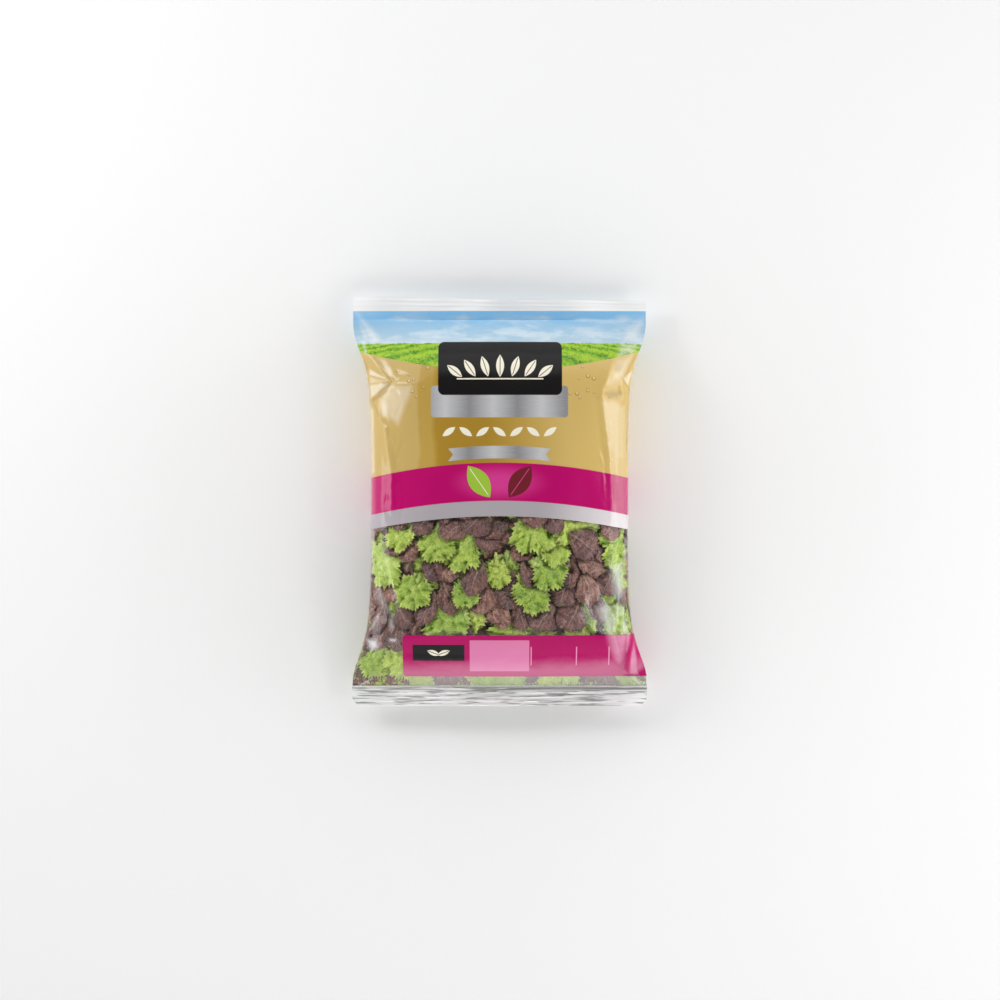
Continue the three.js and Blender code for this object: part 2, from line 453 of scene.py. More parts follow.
def makeLabel():
    faceRow = faceMeans(clearFilm, filmRow.astype(float))
    faceX = faceMeans(clearFilm, readPoints(clearFilm)[:, 0]) / millimetre
    faceSide = faceMeans(clearFilm, filmFront.astype(float))
    inRows = (faceRow > firstLabelRow) & (faceRow < lastLabelRow)
    start = label["left"] - label["margin"]
    wanted = inRows & np.where(faceSide > 0.9, faceX > start, faceX > label["backEnd"])
    selectFaces(clearFilm, wanted)
    bpy.ops.mesh.duplicate()
    piece = splitOff(clearFilm, "labelPrint")
    along = readPoints(piece)[:, 1]
    corner = label["corner"] * millimetre
    left = label["left"] * millimetre
    cuts = [((left, 0, 0), (-1, 0, 0))]
    for end, outward in ((along.max(), 1), (along.min(), -1)):
        for degrees in label["cornerCuts"]:
            turn = math.radians(degrees)
            facing = (-math.cos(turn), outward * math.sin(turn), 0)
            place = (left + corner * (1 + facing[0]), end - outward * corner + corner * facing[1], 0)
            cuts.append((place, facing))
    pickOut(piece)
    bpy.ops.object.mode_set(mode="EDIT")
    for place, facing in cuts:
        bpy.ops.mesh.select_all(action="SELECT")
        bpy.ops.mesh.bisect(plane_co=place, plane_no=facing, clear_outer=True)
    bpy.ops.object.mode_set(mode="OBJECT")
    normals = np.empty(len(piece.data.vertices) * 3)
    piece.data.vertices.foreach_get("normal", normals)
    lifted = readPoints(piece) + normals.reshape(-1, 3) * label["lift"] * millimetre
    writePoints(piece, lifted)
    return piece


labelPrint = makeLabel()
printRows = faceMeans(clearFilm, filmRow.astype(float))
selectFaces(clearFilm, (printRows > firstPrintRow) & (printRows < firstTopRow))
printedFilm = splitOff(clearFilm, "printedFilm")
for piece in (clearFilm, printedFilm, labelPrint):
    smoothByAngle(piece, 50)
print("film made", [len(piece.data.polygons) for piece in (clearFilm, printedFilm, labelPrint)])


# Painted highlights, where the film's folds and facets catch the lamps, and painted shade in its folds.
# Each is a convex field: its corners (x, y), the softness of its edge, and its strength, below 0 for painted
# shade.
printGlareAndShade = [
    (((-101, 119), (-95, 118), (-89.5, 110), (-89, 100)), 3.0, 0.38),  # round the star at the top left
    (((-112, 124), (-109.5, 123), (-91, 101)), 0.7, 0.4),
    (((-109, 111), (-91, 100), (-109, 105.5)), 0.8, 0.45),
    (((-109, 104), (-91, 99.6), (-109, 98)), 0.7, 0.24),
    (((-109, 97), (-91, 98.6), (-107.5, 86)), 0.9, 0.45),
    (((-107, 121), (-105, 121), (-89, 98.5), (-90.5, 98.5)), 0.9, -0.45),
    (((-90, 98.5), (-94, 90), (-108, 81), (-107, 86)), 2.2, -0.36),
    (((-115, 123), (-109.5, 111), (-111, 106)), 1.5, -0.3),
    (((-92, 97.3), (-72, 97), (-73, 90), (-84, 62), (-99, 74), (-99, 89)), 4.0, 0.3),
    (((-101, 86), (-92, 88), (-88, 72), (-99, 70)), 5.0, 0.42),
    (((-108.5, 80), (-105, 76), (-104, 24), (-107.5, 20)), 1.6, 0.34),
    (((-107, 84), (-105, 84), (-99, 70), (-101, 70)), 1.4, -0.2),
    (((-122, 159), (-119, 159), (-95, 132), (-107, 132)), 5.0, 0.42),
    (((-119, 150), (-116, 150), (-109, 135), (-114, 135)), 3.0, 0.25),
    (((-116, 134), (-113, 134), (-110, 122), (-113, 123)), 1.6, 0.35),
    (((121, 154), (106, 144), (103, 133), (117, 133)), 6.0, 0.42),  # down the right side
    (((117, 133), (102, 133), (98, 120), (113, 123)), 6.0, 0.44),
    (((113, 123), (97, 119), (92, 98), (104, 103)), 6.0, 0.34),
    (((117, 124), (113, 124), (103, 103), (106, 103)), 2.0, -0.26),
    (((102.5, 102.5), (107.5, 96), (111.5, 109.5)), 0.9, 0.42),
    (((101.8, 103), (107.3, 94.5), (108.2, 95.5), (102.8, 103.4)), 0.7, -0.4),
    (((110, 96), (107, 96), (105.5, 40), (108, 40)), 1.4, -0.26),
    (((87, 90), (91, 85), (99, 85), (103, 90), (99, 93), (91, 93)), 5.0, -0.42),
    (((84, 89), (88, 62), (92, 34), (105.5, 34), (105.5, 86), (95, 84)), 3.5, 0.2),
    (((86, 86), (90, 66), (92, 60), (92, 80)), 3.0, 0.27),
    (((93, 38), (94, -22), (106, -22), (106, 38)), 4.0, 0.13),
    (((-110, 34), (-105, 36), (-105, -14), (-110, -14)), 6.0, 0.2),
    (((94.5, 20), (95.5, -16), (97.5, -16), (96.5, 20)), 1.2, 0.14),
    (((-96, 153), (-86, 156), (-74, 153.5), (-84, 151)), 2.2, 0.26),  # on the strip under the top seal
    (((-66, 152.5), (-60, 154), (-52, 152), (-59, 150.5)), 1.6, 0.3),
    (((-38, 154), (-30, 158), (-24, 154), (-31, 151.5)), 2.0, 0.24),
    (((-8, 152.5), (2, 154.5), (12, 152.5), (2, 151)), 1.8, 0.3),
    (((30, 153), (36, 157), (46, 153.5), (38, 151)), 2.2, 0.25),
    (((60, 152.5), (70, 155), (84, 152.5), (71, 150.5)), 2.0, 0.3),
    (((96, 155), (104, 157), (112, 154), (104, 151)), 2.5, 0.26),
]
windowGlare = [
    (((-101, -70), (-86, -98), (-91, -98), (-103, -80)), 4.0, 0.2),  # down the left side
    (((-100, -95), (-103, -96), (-109, -109), (-105, -106)), 2.5, 0.4),
    (((-112, -115), (-108, -126), (-101, -123), (-102, -116)), 3.5, 0.55),
    (((-92.5, -114.3), (-92, -117), (-86, -118), (-85.5, -114.5)), 1.5, 0.45),
    (((-93, -99), (-91, -109), (-87, -106), (-89, -97)), 3.0, 0.3),
    (((-125, -158), (-124, -160), (-106, -150), (-107, -148.5)), 1.5, 0.4),
    (((-108, -20), (-108, -64), (-105, -60), (-104, -24)), 2.5, 0.22),
    (((93, -54), (94, -78), (99, -86), (105, -76), (103, -50)), 5.0, 0.34),  # down the right side
    (((76, -90), (83, -101), (86, -113), (96, -113), (99, -98), (90, -84)), 6.0, 0.34),
    (((92, -86), (97, -97), (106, -98), (105, -86)), 5.0, 0.24),
    (((103, -99), (101.5, -112), (108, -112), (107, -98)), 2.5, 0.3),
    (((104, -30), (103, -50), (106.5, -50), (106.5, -32)), 2.0, 0.2),
    (((108, -147), (122, -160), (124, -160), (114, -147)), 2.5, 0.22),
]
labelGlareAndShade = [
    (((86, -108), (92, -124), (96, -140), (105, -138), (107, -120), (109, -108)), 5.0, 0.42),
    (((92, -110), (99, -132), (103, -132), (98, -110)), 2.5, 0.55),
    (((106, -108), (105, -124), (107, -130), (110, -110)), 2.5, 0.5),
    (((112.5, -118), (109, -134), (109, -146), (117, -146), (116, -134)), 2.0, 0.5),
    (((113, -124), (112, -146), (114, -146)), 1.5, 0.75),
    (((106, -128), (109, -120), (110, -134), (109, -146), (104, -141)), 1.6, -0.8),
]


def markPaintedLight(piece, fields):  # writes the painted highlight and the painted shade share onto the film's front
    x, y, z = readPoints(piece).T / millimetre
    paintedGlare, paintedShade = np.zeros(len(x)), np.zeros(len(x))
    for corners, soft, strength in fields:
        corners = np.array(corners, dtype=float)
        middle = corners.mean(axis=0)
        inside = np.full(len(x), np.inf)  # distance to the nearest edge of the field, below 0 outside it
        for start, end in zip(corners, np.roll(corners, -1, axis=0)):
            along = (end - start) / np.hypot(*(end - start))
            gap = along[0] * (y - start[1]) - along[1] * (x - start[0])
            facing = np.sign(along[0] * (middle[1] - start[1]) - along[1] * (middle[0] - start[0]))
            inside = np.minimum(inside, gap * facing)
        share = abs(strength) * smooth(-0.5 * soft, soft, inside)
        if strength > 0:
            paintedGlare = np.maximum(paintedGlare, share)
        else:
            paintedShade = np.maximum(paintedShade, share)
    onFront = z > meetingHeight(x, np.clip(y, bottomWeld, topWeld))
    values = np.stack([paintedGlare * onFront, paintedShade * onFront, 0 * x, 1 + 0 * x], axis=1)
    marks = piece.data.attributes.new("paintedLight", "FLOAT_COLOR", "POINT")
    marks.data.foreach_set("color", values.ravel())


markPaintedLight(printedFilm, printGlareAndShade)
markPaintedLight(clearFilm, windowGlare)
markPaintedLight(labelPrint, labelGlareAndShade)
print("film marked", len(printGlareAndShade + windowGlare + labelGlareAndShade))

# What lies under the film is placed by how far round the tube it is from the middle of the front (s),
# how far along the bag (y) and how deep under the film.
skinGrid = {
    "step": 1.5,
    "alongStep": 1.5,
    "blurs": 4,
    "deepest": 0.46,  # share of the room between front and back
}


def unrollFilm():
    ys = np.arange(bottomWeld + 1, topWeld, skinGrid["alongStep"])
    ring = np.concatenate([frontSurface, backSurface[:, ::-1]], axis=1)
    bodyRows = slice(filmGrid["bottomSeal"], frontSurface.shape[0] - filmGrid["topSeal"])
    ringX = np.array([np.interp(ys, c[bodyRows, 1], c[bodyRows, 0]) for c in ring.transpose(1, 0, 2)])
    ringZ = np.array([np.interp(ys, c[bodyRows, 1], c[bodyRows, 2]) for c in ring.transpose(1, 0, 2)])
    opposite = np.arange(ring.shape[1])[::-1]
    width = frontSurface.shape[1]
    room = np.abs(ringZ - ringZ[opposite])
    s = np.arange(-halfGirth, halfGirth + 0.1, skinGrid["step"])
    place = np.zeros((len(ys), len(s), 3))
    space = np.zeros((len(ys), len(s)))
    for k in range(len(ys)):
        x, z = ringX[:, k], ringZ[:, k]
        step = np.hypot(np.diff(x, append=x[0]), np.diff(z, append=z[0]))
        middle = width // 2  # the ring's point in the middle of the front
        order = (np.arange(len(x) + 1) + middle + len(x) // 2) % len(x)  # from the middle of the back
        around = np.concatenate([[0], np.cumsum(step[order[:-1]])])
        front = around[np.nonzero(order == middle)[0][0]]
        around = (around - front) * 2 * halfGirth / around[-1]
        place[k, :, 0] = np.interp(s, around, x[order])
        place[k, :, 1] = ys[k]
        place[k, :, 2] = np.interp(s, around, z[order])
        space[k] = np.interp(s, around, room[order, k])
    blurred = place.copy()
    for _ in range(skinGrid["blurs"]):
        blurred[1:-1] = (blurred[:-2] + blurred[1:-1] * 2 + blurred[2:]) / 4
        blurred[:, 1:-1] = (blurred[:, :-2] + blurred[:, 1:-1] * 2 + blurred[:, 2:]) / 4
    outward = np.cross(np.gradient(blurred, axis=1), np.gradient(blurred, axis=0))
    outward /= np.linalg.norm(outward, axis=2, keepdims=True)
    return {"s": s, "y": ys, "place": place, "outward": outward, "room": space}


skin = unrollFilm()


def sampleSkin(name, s, y):
    table = skin[name]
    column = np.clip((s - skin["s"][0]) / skinGrid["step"], 0, len(skin["s"]) - 1.001)
    row = np.clip((y - skin["y"][0]) / skinGrid["alongStep"], 0, len(skin["y"]) - 1.001)
    c, r = column.astype(int), row.astype(int)
    u, v = column - c, row - r
    if table.ndim == 3:
        u, v = u[:, None], v[:, None]
    low = table[r, c] * (1 - u) + table[r, c + 1] * u
    high = table[r + 1, c] * (1 - u) + table[r + 1, c + 1] * u
    return low * (1 - v) + high * v


def underFilm(s, y, depth):
    s = (s + halfGirth) % (2 * halfGirth) - halfGirth
    y = np.clip(y, skin["y"][0], skin["y"][-1])
    most = skinGrid["deepest"] * sampleSkin("room", s, y)
    deep = most * np.tanh(depth / np.maximum(most, 0.01))  # squeezed where the bag is thin
    return sampleSkin("place", s, y) - sampleSkin("outward", s, y) * deep[:, None]


print("film unrolled")


# Leaves. Each kind has a few shapes, each modelled once; a copy is laid under the film at each of its spots.
# Length and width are from a leaf's middle; base is the share of the width that is left at its stalk.
leafKinds = {
    "frillyGreenLeaves": {
        "shapes": 6, "grid": 20, "length": 15.5, "width": 16.5, "base": 0.3, "lobes": 0.12, "teeth": 2.6,
        "ruffle": 2.6, "ruffleWaves": 8, "blister": 0.85, "cup": 1.8, "rib": 0.6,
        "seed": 21, "share": 0.17, "size": (0.85, 1.3),
    },
    "toothedGreenLeaves": {
        "shapes": 5, "grid": 20, "length": 15, "width": 11.5, "base": 0.4, "lobes": 0.1, "teeth": 2.3,
        "ruffle": 2.2, "ruffleWaves": 6, "blister": 0.75, "cup": 1.8, "rib": 0.6,
        "seed": 34, "share": 0.11, "size": (0.85, 1.25),
    },
    "roundRedLeaves": {
        "shapes": 6, "grid": 14, "length": 12.8, "width": 11.4, "base": 0.42, "lobes": 0.05, "teeth": 0.0,
        "ruffle": 1.25, "ruffleWaves": 4, "blister": 0.42, "cup": 1.7, "rib": 0.7,
        "seed": 47, "share": 0.39, "size": (0.85, 1.25),
    },
    "longRedLeaves": {
        "shapes": 5, "grid": 14, "length": 15, "width": 9.4, "base": 0.5, "lobes": 0.06, "teeth": 0.3,
        "ruffle": 1.25, "ruffleWaves": 4, "blister": 0.42, "cup": 1.7, "rib": 0.8,
        "seed": 59, "share": 0.28, "size": (0.85, 1.2),
    },
}
leafForm = {  # what all kinds have in common
    "thickness": 0.4,
    "taper": (-1.0, 0.15),  # from the stalk, as shares of the half length
    "lobeWaves": (2, 3, 5, 8, 13),
    "toothSizes": (0.35, 1.25),
    "toothFade": (2.9, 2.2),  # no teeth near the stalk, by the turn from the tip in radians
    "ruffles": ((1, 1.0), (1.7, 0.6), (2.9, 0.35)),  # share of the kind's waves, and of its height
    "rufflePower": 2.4,
    "cupMiddle": 0.35,
    "puckers": 7, "puckerLength": (3.5, 8.0), "puckerShare": 0.55,
    "ribWidth": 1.5, "ribFade": (0.9, -0.6),
    "uvSize": 60.0,  # millimetres of leaf across the whole UV square
    "smoothing": 60,
}
leafLaying = {
    "seed": 5,
    "topSpacing": 20.0,  # between the leaves against the front film, which overlap like shingles, tips down
    "topDisorder": 9.0,  # how far one of them may be out of turn
    "topTipDepth": (0.3, 2.4),
    "topSwing": 0.75,  # how far their tips swing to either side, in radians
    "spacing": 13.0,  # between the leaves that fill in behind them
    "backSpacing": 17.0,
    "tipDepth": (1.0, 5.5),
    "dive": (0.5, 4.0),  # how much deeper a leaf's base is than its tip
    "divePower": 1.3,
    "under": 0.55,  # the least depth under the film
    "softness": 0.4,  # how gently a leaf is pressed flat where it meets the film
    "gap": 0.85,  # between a leaf and the one that lies on it
    "pileStep": 1.5,
    "mixReach": 27.0,  # leaves this near to each other seldom have the same colour
    "mixing": 0.75,
    # where each layer's leaves have their middles: from and to round the film, from and to along the bag
    "topArea": (-130, 130, bottomWeld + 4, 2),
    "frontArea": (-128, 128, bottomWeld + 4, -2),
    "backArea": (142, 354, bottomWeld + 6, -6),
    "scatter": (0.22, 0.2),  # across and along, as shares of the spacing
    "rowSpacing": 0.87,
}


def makeLeaf(name, kind, number):
    form = leafForm
    draw = np.random.default_rng(kind["seed"] + number)
    piece = gridSheet(name, kind["grid"], kind["grid"])
    square = readPoints(piece)
    a, b = square[:, 0], square[:, 1]
    diskX, diskY = a * np.sqrt(1 - b**2 / 2), b * np.sqrt(1 - a**2 / 2)
    out = np.hypot(diskX, diskY)
    turn = np.arctan2(diskX, diskY)  # 0 at the tip, half a turn at the base
    lobes = 1 + 0 * turn
    for waves in form["lobeWaves"]:
        strength = kind["lobes"] * draw.uniform(0.3, 1.0) / math.sqrt(waves / 3)
        lobes = lobes + strength * np.sin(waves * turn + draw.uniform(0, fullTurn)) * out**2
    taper = mix(kind["base"], 1, smooth(*form["taper"], diskY))
    x = diskX * kind["width"] * taper * lobes
    y = diskY * kind["length"] * lobes
    atRim = np.maximum(np.abs(a), np.abs(b)) > 0.999
    rimOrder = np.argsort(turn[atRim])
    tooth = np.zeros(atRim.sum())
    tooth[rimOrder[::2]] = draw.uniform(*form["toothSizes"], len(rimOrder[::2])) * kind["teeth"]
    shift = np.zeros(len(a))
    shift[atRim] = tooth * smooth(*form["toothFade"], np.abs(turn[atRim]))
    x += shift * np.sin(turn)
    y += shift * np.cos(turn)
    z = kind["cup"] * draw.choice([-1, 1, 1]) * (form["cupMiddle"] - out**2) * draw.uniform(0.4, 1)
    for factor, strength in form["ruffles"]:
        count = round(kind["ruffleWaves"] * factor + draw.uniform(-0.5, 0.5))
        wave = np.sin(count * turn + draw.uniform(0, fullTurn))
        z += kind["ruffle"] * strength * out ** form["rufflePower"] * wave
    for _ in range(form["puckers"]):  # the puckered blade between the veins
        heading, length = draw.uniform(0, fullTurn / 2), draw.uniform(*form["puckerLength"])
        phase = (x * math.cos(heading) + y * math.sin(heading)) * fullTurn / length
        z += kind["blister"] * form["puckerShare"] * np.sin(phase + draw.uniform(0, fullTurn))
    z += kind["rib"] * np.exp(-((x / form["ribWidth"]) ** 2)) * smooth(*form["ribFade"], diskY)
    writePoints(piece, np.stack([x, y, z], axis=1))
    piece.data.attributes.new("leafRim", "FLOAT", "POINT").data.foreach_set("value", out)
    uv = piece.data.uv_layers.active.data
    corners = np.empty(len(piece.data.loops), dtype=int)
    piece.data.loops.foreach_get("vertex_index", corners)
    places = np.stack([x, y], axis=1)[corners] / form["uvSize"] + 0.5
    uv.foreach_set("uv", places.ravel())
    applyModifier(piece, "SOLIDIFY", thickness=form["thickness"], offset=0)
    smoothByAngle(piece, form["smoothing"])
    return piece


def leafSpots(draw, sFrom, sTo, yFrom, yTo, spacing):
    spots = []
    scatterS, scatterY = leafLaying["scatter"]
    rows = int((yTo - yFrom) / (spacing * leafLaying["rowSpacing"]))
    for r in range(rows + 1):
        y = yFrom + (yTo - yFrom) * r / rows
        columns = int((sTo - sFrom) / spacing)
        for c in range(columns + 1):
            s = sFrom + (sTo - sFrom) * (c + 0.5 * (r % 2)) / columns
            spots.append((s + draw.normal(0, scatterS) * spacing, y + draw.normal(0, scatterY) * spacing))
    return spots


def settle(pile, s, y, depth):  # bends a leaf under the leaves laid before it, and adds it to the pile
    step = leafLaying["pileStep"]
    column = np.rint((s + halfGirth) / step).astype(int)
    row = np.clip(np.rint((y - bottomWeld) / step).astype(int), 2, pile.shape[0] - 3)
    reach = np.arange(-2, 3)
    rowsAround = row[:, None, None] + reach[None, :, None]
    columnsAround = (column[:, None, None] + reach[None, None, :]) % pile.shape[1]
    around = pile[rowsAround, columnsAround]
    covered = np.maximum(around[:, 2, 2], around.mean(axis=(1, 2)))
    depth = np.where(covered > 0.1, np.maximum(depth, covered + leafLaying["gap"]), depth)
    inner = slice(1, 4)
    spread = np.broadcast_to(depth[:, None, None], (len(s), 3, 3))
    cells = np.broadcast_arrays(rowsAround[:, inner], columnsAround[:, :, inner])
    np.maximum.at(pile, tuple(cells), spread)
    return depth


def layLeaf(shape, kind, pile, s, y, turn, size, tipDepth, dive, tone):
    leaf = shape.copy()
    leaf.data = shape.data.copy()
    bpy.context.collection.objects.link(leaf)
    x, along, up = readPoints(leaf).T
    x, along = x * size, along * size
    cos, sin = math.cos(turn), math.sin(turn)
    onS, onY = s + x * cos - along * sin, y + x * sin + along * cos
    tip = np.clip(0.5 + along / (2 * kind["length"] * size), 0, 1)
    under, softness = leafLaying["under"], leafLaying["softness"]
    depth = tipDepth + dive * (1 - tip) ** leafLaying["divePower"] - up - under
    depth = under + softness * np.log1p(np.exp(depth / softness))
    depth = settle(pile, onS, onY, depth)
    writePoints(leaf, underFilm(onS, onY, depth) * millimetre)
    tones = leaf.data.attributes.new("leafTone", "FLOAT_COLOR", "POINT")
    tones.data.foreach_set("color", np.tile([*tone, 1.0], len(x)))
    return leaf


def layAllLeaves():
    draw = np.random.default_rng(leafLaying["seed"])
    names = list(leafKinds)
    shares = np.array([leafKinds[n]["share"] for n in names])
    isGreen = np.array(["Green" in n for n in names])
    greenShare = shares[isGreen].sum() / shares.sum()
    placed = []  # places of the leaves laid so far, and whether each is green
    shapes = {}
    for name, kind in leafKinds.items():
        shapes[name] = [makeLeaf(f"{name}{k}", kind, k) for k in range(kind["shapes"])]
    laid = {name: [] for name in names}
    top = leafSpots(draw, *leafLaying["topArea"], leafLaying["topSpacing"])
    top.sort(key=lambda spot: draw.normal(0, leafLaying["topDisorder"]) - spot[1])
    spots = leafSpots(draw, *leafLaying["frontArea"], leafLaying["spacing"])
    spots += leafSpots(draw, *leafLaying["backArea"], leafLaying["backSpacing"])
    spots = top + [spots[k] for k in draw.permutation(len(spots))]
    tipDepths = draw.uniform(*leafLaying["topTipDepth"], len(top))
    tipDepths = np.append(tipDepths, np.sort(draw.uniform(*leafLaying["tipDepth"], len(spots) - len(top))))
    turns = draw.uniform(0, fullTurn, len(spots))
    turns[: len(top)] = draw.normal(math.pi, leafLaying["topSwing"], len(top))
    step = leafLaying["pileStep"]
    pile = np.zeros((int((topWeld - bottomWeld) / step) + 2, round(2 * halfGirth / step)))
    for (s, y), tipDepth, turn in zip(spots, tipDepths, turns):
        near = [other[2] for other in placed if math.dist(other[:2], (s, y)) < leafLaying["mixReach"]]
        excess = (np.mean(near[-4:]) - greenShare) * leafLaying["mixing"] if near else 0.0
        green = draw.uniform(0, 1) < greenShare - excess
        placed.append((s, y, green))
        odds = shares * (isGreen == green)
        name = names[draw.choice(len(names), p=odds / odds.sum())]
        kind = leafKinds[name]
        shape = shapes[name][draw.integers(kind["shapes"])]
        size, dive = draw.uniform(*kind["size"]), draw.uniform(*leafLaying["dive"])
        tone = draw.uniform(0, 1, 3)
        laid[name].append(layLeaf(shape, kind, pile, s, y, turn, size, tipDepth, dive, tone))
    for name in names:
        deselectAll()
        for leaf in laid[name]:
            leaf.select_set(True)
        bpy.context.view_layer.objects.active = laid[name][0]
        bpy.ops.object.join()
        joined = bpy.context.object
        joined.name = joined.data.name = name
        for shape in shapes[name]:
            bpy.data.objects.remove(shape)
        print(name, len(laid[name]), "leaves", len(joined.data.polygons), "faces")


layAllLeaves()


# The heart of the bag: a dark sheet that stands in for the deeper leaves, coloured as their painted shade,
# seen only through gaps between the leaves
shadeCore = {
    "around": 110, "along": 100,
    "depth": 13.0,
    "rumple": 2.0,
    "foldsAround": 40, "foldLength": 4.6, "sway": 2, "swayLength": 9, "swaysAround": 9, "twist": 1.5,
    "endDepth": 40.0,  # deep enough for both faces to meet
    "fromBottom": 4.0, "fromTop": 6.0,
    "mergeDistance": 0.00002,
    "smoothing": 60,
}


def makeShadeCore():
    piece = gridSheet("paintedShadeCore", shadeCore["around"], shadeCore["along"])
    points = readPoints(piece)
    # its two edges meet down the back
    s = np.where(points[:, 0] > 0.999, -halfGirth, points[:, 0] * halfGirth)
    y = mix(bottomWeld + shadeCore["fromBottom"], topWeld - shadeCore["fromTop"], (points[:, 1] + 1) / 2)
    around = s / halfGirth * math.pi
    sway, twist = shadeCore["sway"] * np.sin(y / shadeCore["swayLength"]), np.sin(shadeCore["swaysAround"] * around)
    rumple = np.sin(shadeCore["foldsAround"] * around + sway)
    rumple = rumple * np.sin(y / shadeCore["foldLength"] + shadeCore["twist"] * twist)
    placed = underFilm(s, y, shadeCore["depth"] + shadeCore["rumple"] * rumple)
    # both ends are pinched flat, front on back, which closes them when the points are merged
    opposite = np.where(s >= 0, halfGirth, -halfGirth) - s
    endDepth = np.full_like(s, shadeCore["endDepth"])
    pinched = (underFilm(s, y, endDepth) + underFilm(opposite, y, endDepth)) / 2
    atEnd = np.abs(points[:, 1]) > 0.999
    placed[atEnd] = pinched[atEnd]
    writePoints(piece, placed * millimetre)
    pickOut(piece)
    bpy.context.tool_settings.mesh_select_mode = (True, False, False)
    bpy.ops.object.mode_set(mode="EDIT")
    bpy.ops.mesh.select_all(action="SELECT")
    bpy.ops.mesh.remove_doubles(threshold=shadeCore["mergeDistance"])
    bpy.ops.mesh.normals_make_consistent(inside=False)
    bpy.ops.object.mode_set(mode="OBJECT")
    smoothByAngle(piece, shadeCore["smoothing"])
    return piece


makeShadeCore()
print("heart made")


# Materials. Small functions that add one node each and give back its outputs or its one output.
def newTree(name):
    material = bpy.data.materials.new(name)
    material.use_nodes = True
    material.node_tree.nodes.clear()
    return material, material.node_tree


def setSockets(tree, node, sockets):  # a socket is linked, anything else is set as a value
    for key, value in sockets.items():
        if isinstance(value, bpy.types.NodeSocket):
            tree.links.new(value, node.inputs[key])
        else:
            node.inputs[key].default_value = value
    return node.outputs


def addNode(tree, kind, sockets, **settings):
    node = tree.nodes.new("ShaderNode" + kind)
    for name, value in settings.items():
        setattr(node, name, value)
    return setSockets(tree, node, sockets)


def calc(tree, operation, *values):
    return addNode(tree, "Math", dict(enumerate(values)), operation=operation)[0]


def times(tree, first, *others):
    for other in others:
        first = calc(tree, "MULTIPLY", first, other)
    return first


def plus(tree, first, *others):
    for other in others:
        first = calc(tree, "ADD", first, other)
    return first


def minus(tree, first, second):
    return calc(tree, "SUBTRACT", first, second)


def vectorCalc(tree, operation, first, second=None):
    sockets = {0: first}
    if second is not None:
        sockets[3 if operation == "SCALE" else 1] = second
    outputs = addNode(tree, "VectorMath", sockets, operation=operation)
    return outputs["Value" if operation == "LENGTH" else "Vector"]


def separate(tree, vector):
    return addNode(tree, "SeparateXYZ", {0: vector})


def combine(tree, x, y):
    return addNode(tree, "CombineXYZ", {0: x, 1: y, 2: 0.0})[0]


def fade(tree, value, low, high):  # 0 at low, 1 at high
    sockets = {"Value": value, "From Min": low, "From Max": high}
    return addNode(tree, "MapRange", sockets, interpolation_type="SMOOTHSTEP")[0]


def paint(tree, base, top, mask):
    return addNode(tree, "Mix", {0: mask, 6: base, 7: top}, data_type="RGBA")[2]


def noise(tree, vector, scale, detail=3.0, roughness=0.5):
    sockets = {"Vector": vector, "Scale": scale, "Detail": detail, "Roughness": roughness}
    return addNode(tree, "TexNoise", sockets)["Fac"]


def centredNoise(tree, *settings):
    return minus(tree, noise(tree, *settings), 0.5)


def attribute(tree, name, output):
    return addNode(tree, "Attribute", {}, attribute_name=name)[output]


def bumpNormal(tree, height, strength, distance):
    return addNode(tree, "Bump", {"Strength": strength, "Distance": distance, "Height": height})[0]


def principled(tree, colour, roughness, sockets=None):
    sockets = {"Base Color": colour, "Roughness": roughness, **(sockets or {})}
    return addNode(tree, "BsdfPrincipled", sockets)[0]


def ramp(tree, value, stops):
    colour = addNode(tree, "ValToRGB", {"Fac": value})["Color"]
    elements = colour.node.color_ramp.elements
    while len(elements) < len(stops):
        elements.new(0.5)
    for element, (position, shade) in zip(elements, stops):
        element.position = position
        element.color = (*shade, 1)
    return colour


def rgb(red, green, blue):
    return (red, green, blue, 1)


def objectMillimetres(tree):  # where a point is on the bag, in millimetres, as a vector and as X, Y, Z
    place = vectorCalc(tree, "SCALE", addNode(tree, "TexCoord", {})["Object"], 1 / millimetre)
    return place, *separate(tree, place)


def newGroup(name, inputs, outputs):
    tree = bpy.data.node_groups.new(name, "ShaderNodeTree")
    for direction, sockets in (("INPUT", inputs), ("OUTPUT", outputs)):
        for socketName, kind in sockets.items():
            tree.interface.new_socket(socketName, in_out=direction, socket_type="NodeSocket" + kind)
    return tree, tree.nodes.new("NodeGroupInput").outputs, tree.nodes.new("NodeGroupOutput").inputs


def useGroup(tree, group, **sockets):
    node = tree.nodes.new("ShaderNodeGroup")
    node.node_tree = group
    return setSockets(tree, node, sockets)


# Softness of printed edges, in millimetres to either side
printEdge = {"band": 0.25, "ribbon": 0.2, "box": 0.4}


def makeBandEdge():  # 1 below an arc across the bag, 0 above it
    inputs = {"X": "Float", "Y": "Float", "Middle": "Float", "Drop": "Float"}
    tree, given, result = newGroup("bandEdge", inputs, {"Mask": "Float"})
    share = calc(tree, "DIVIDE", given["X"], bagShape["waistHalf"])
    height = plus(tree, given["Y"], times(tree, share, share, given["Drop"]))
    gap = minus(tree, given["Middle"], height)
    tree.links.new(fade(tree, gap, -printEdge["band"], printEdge["band"]), result["Mask"])
    return tree


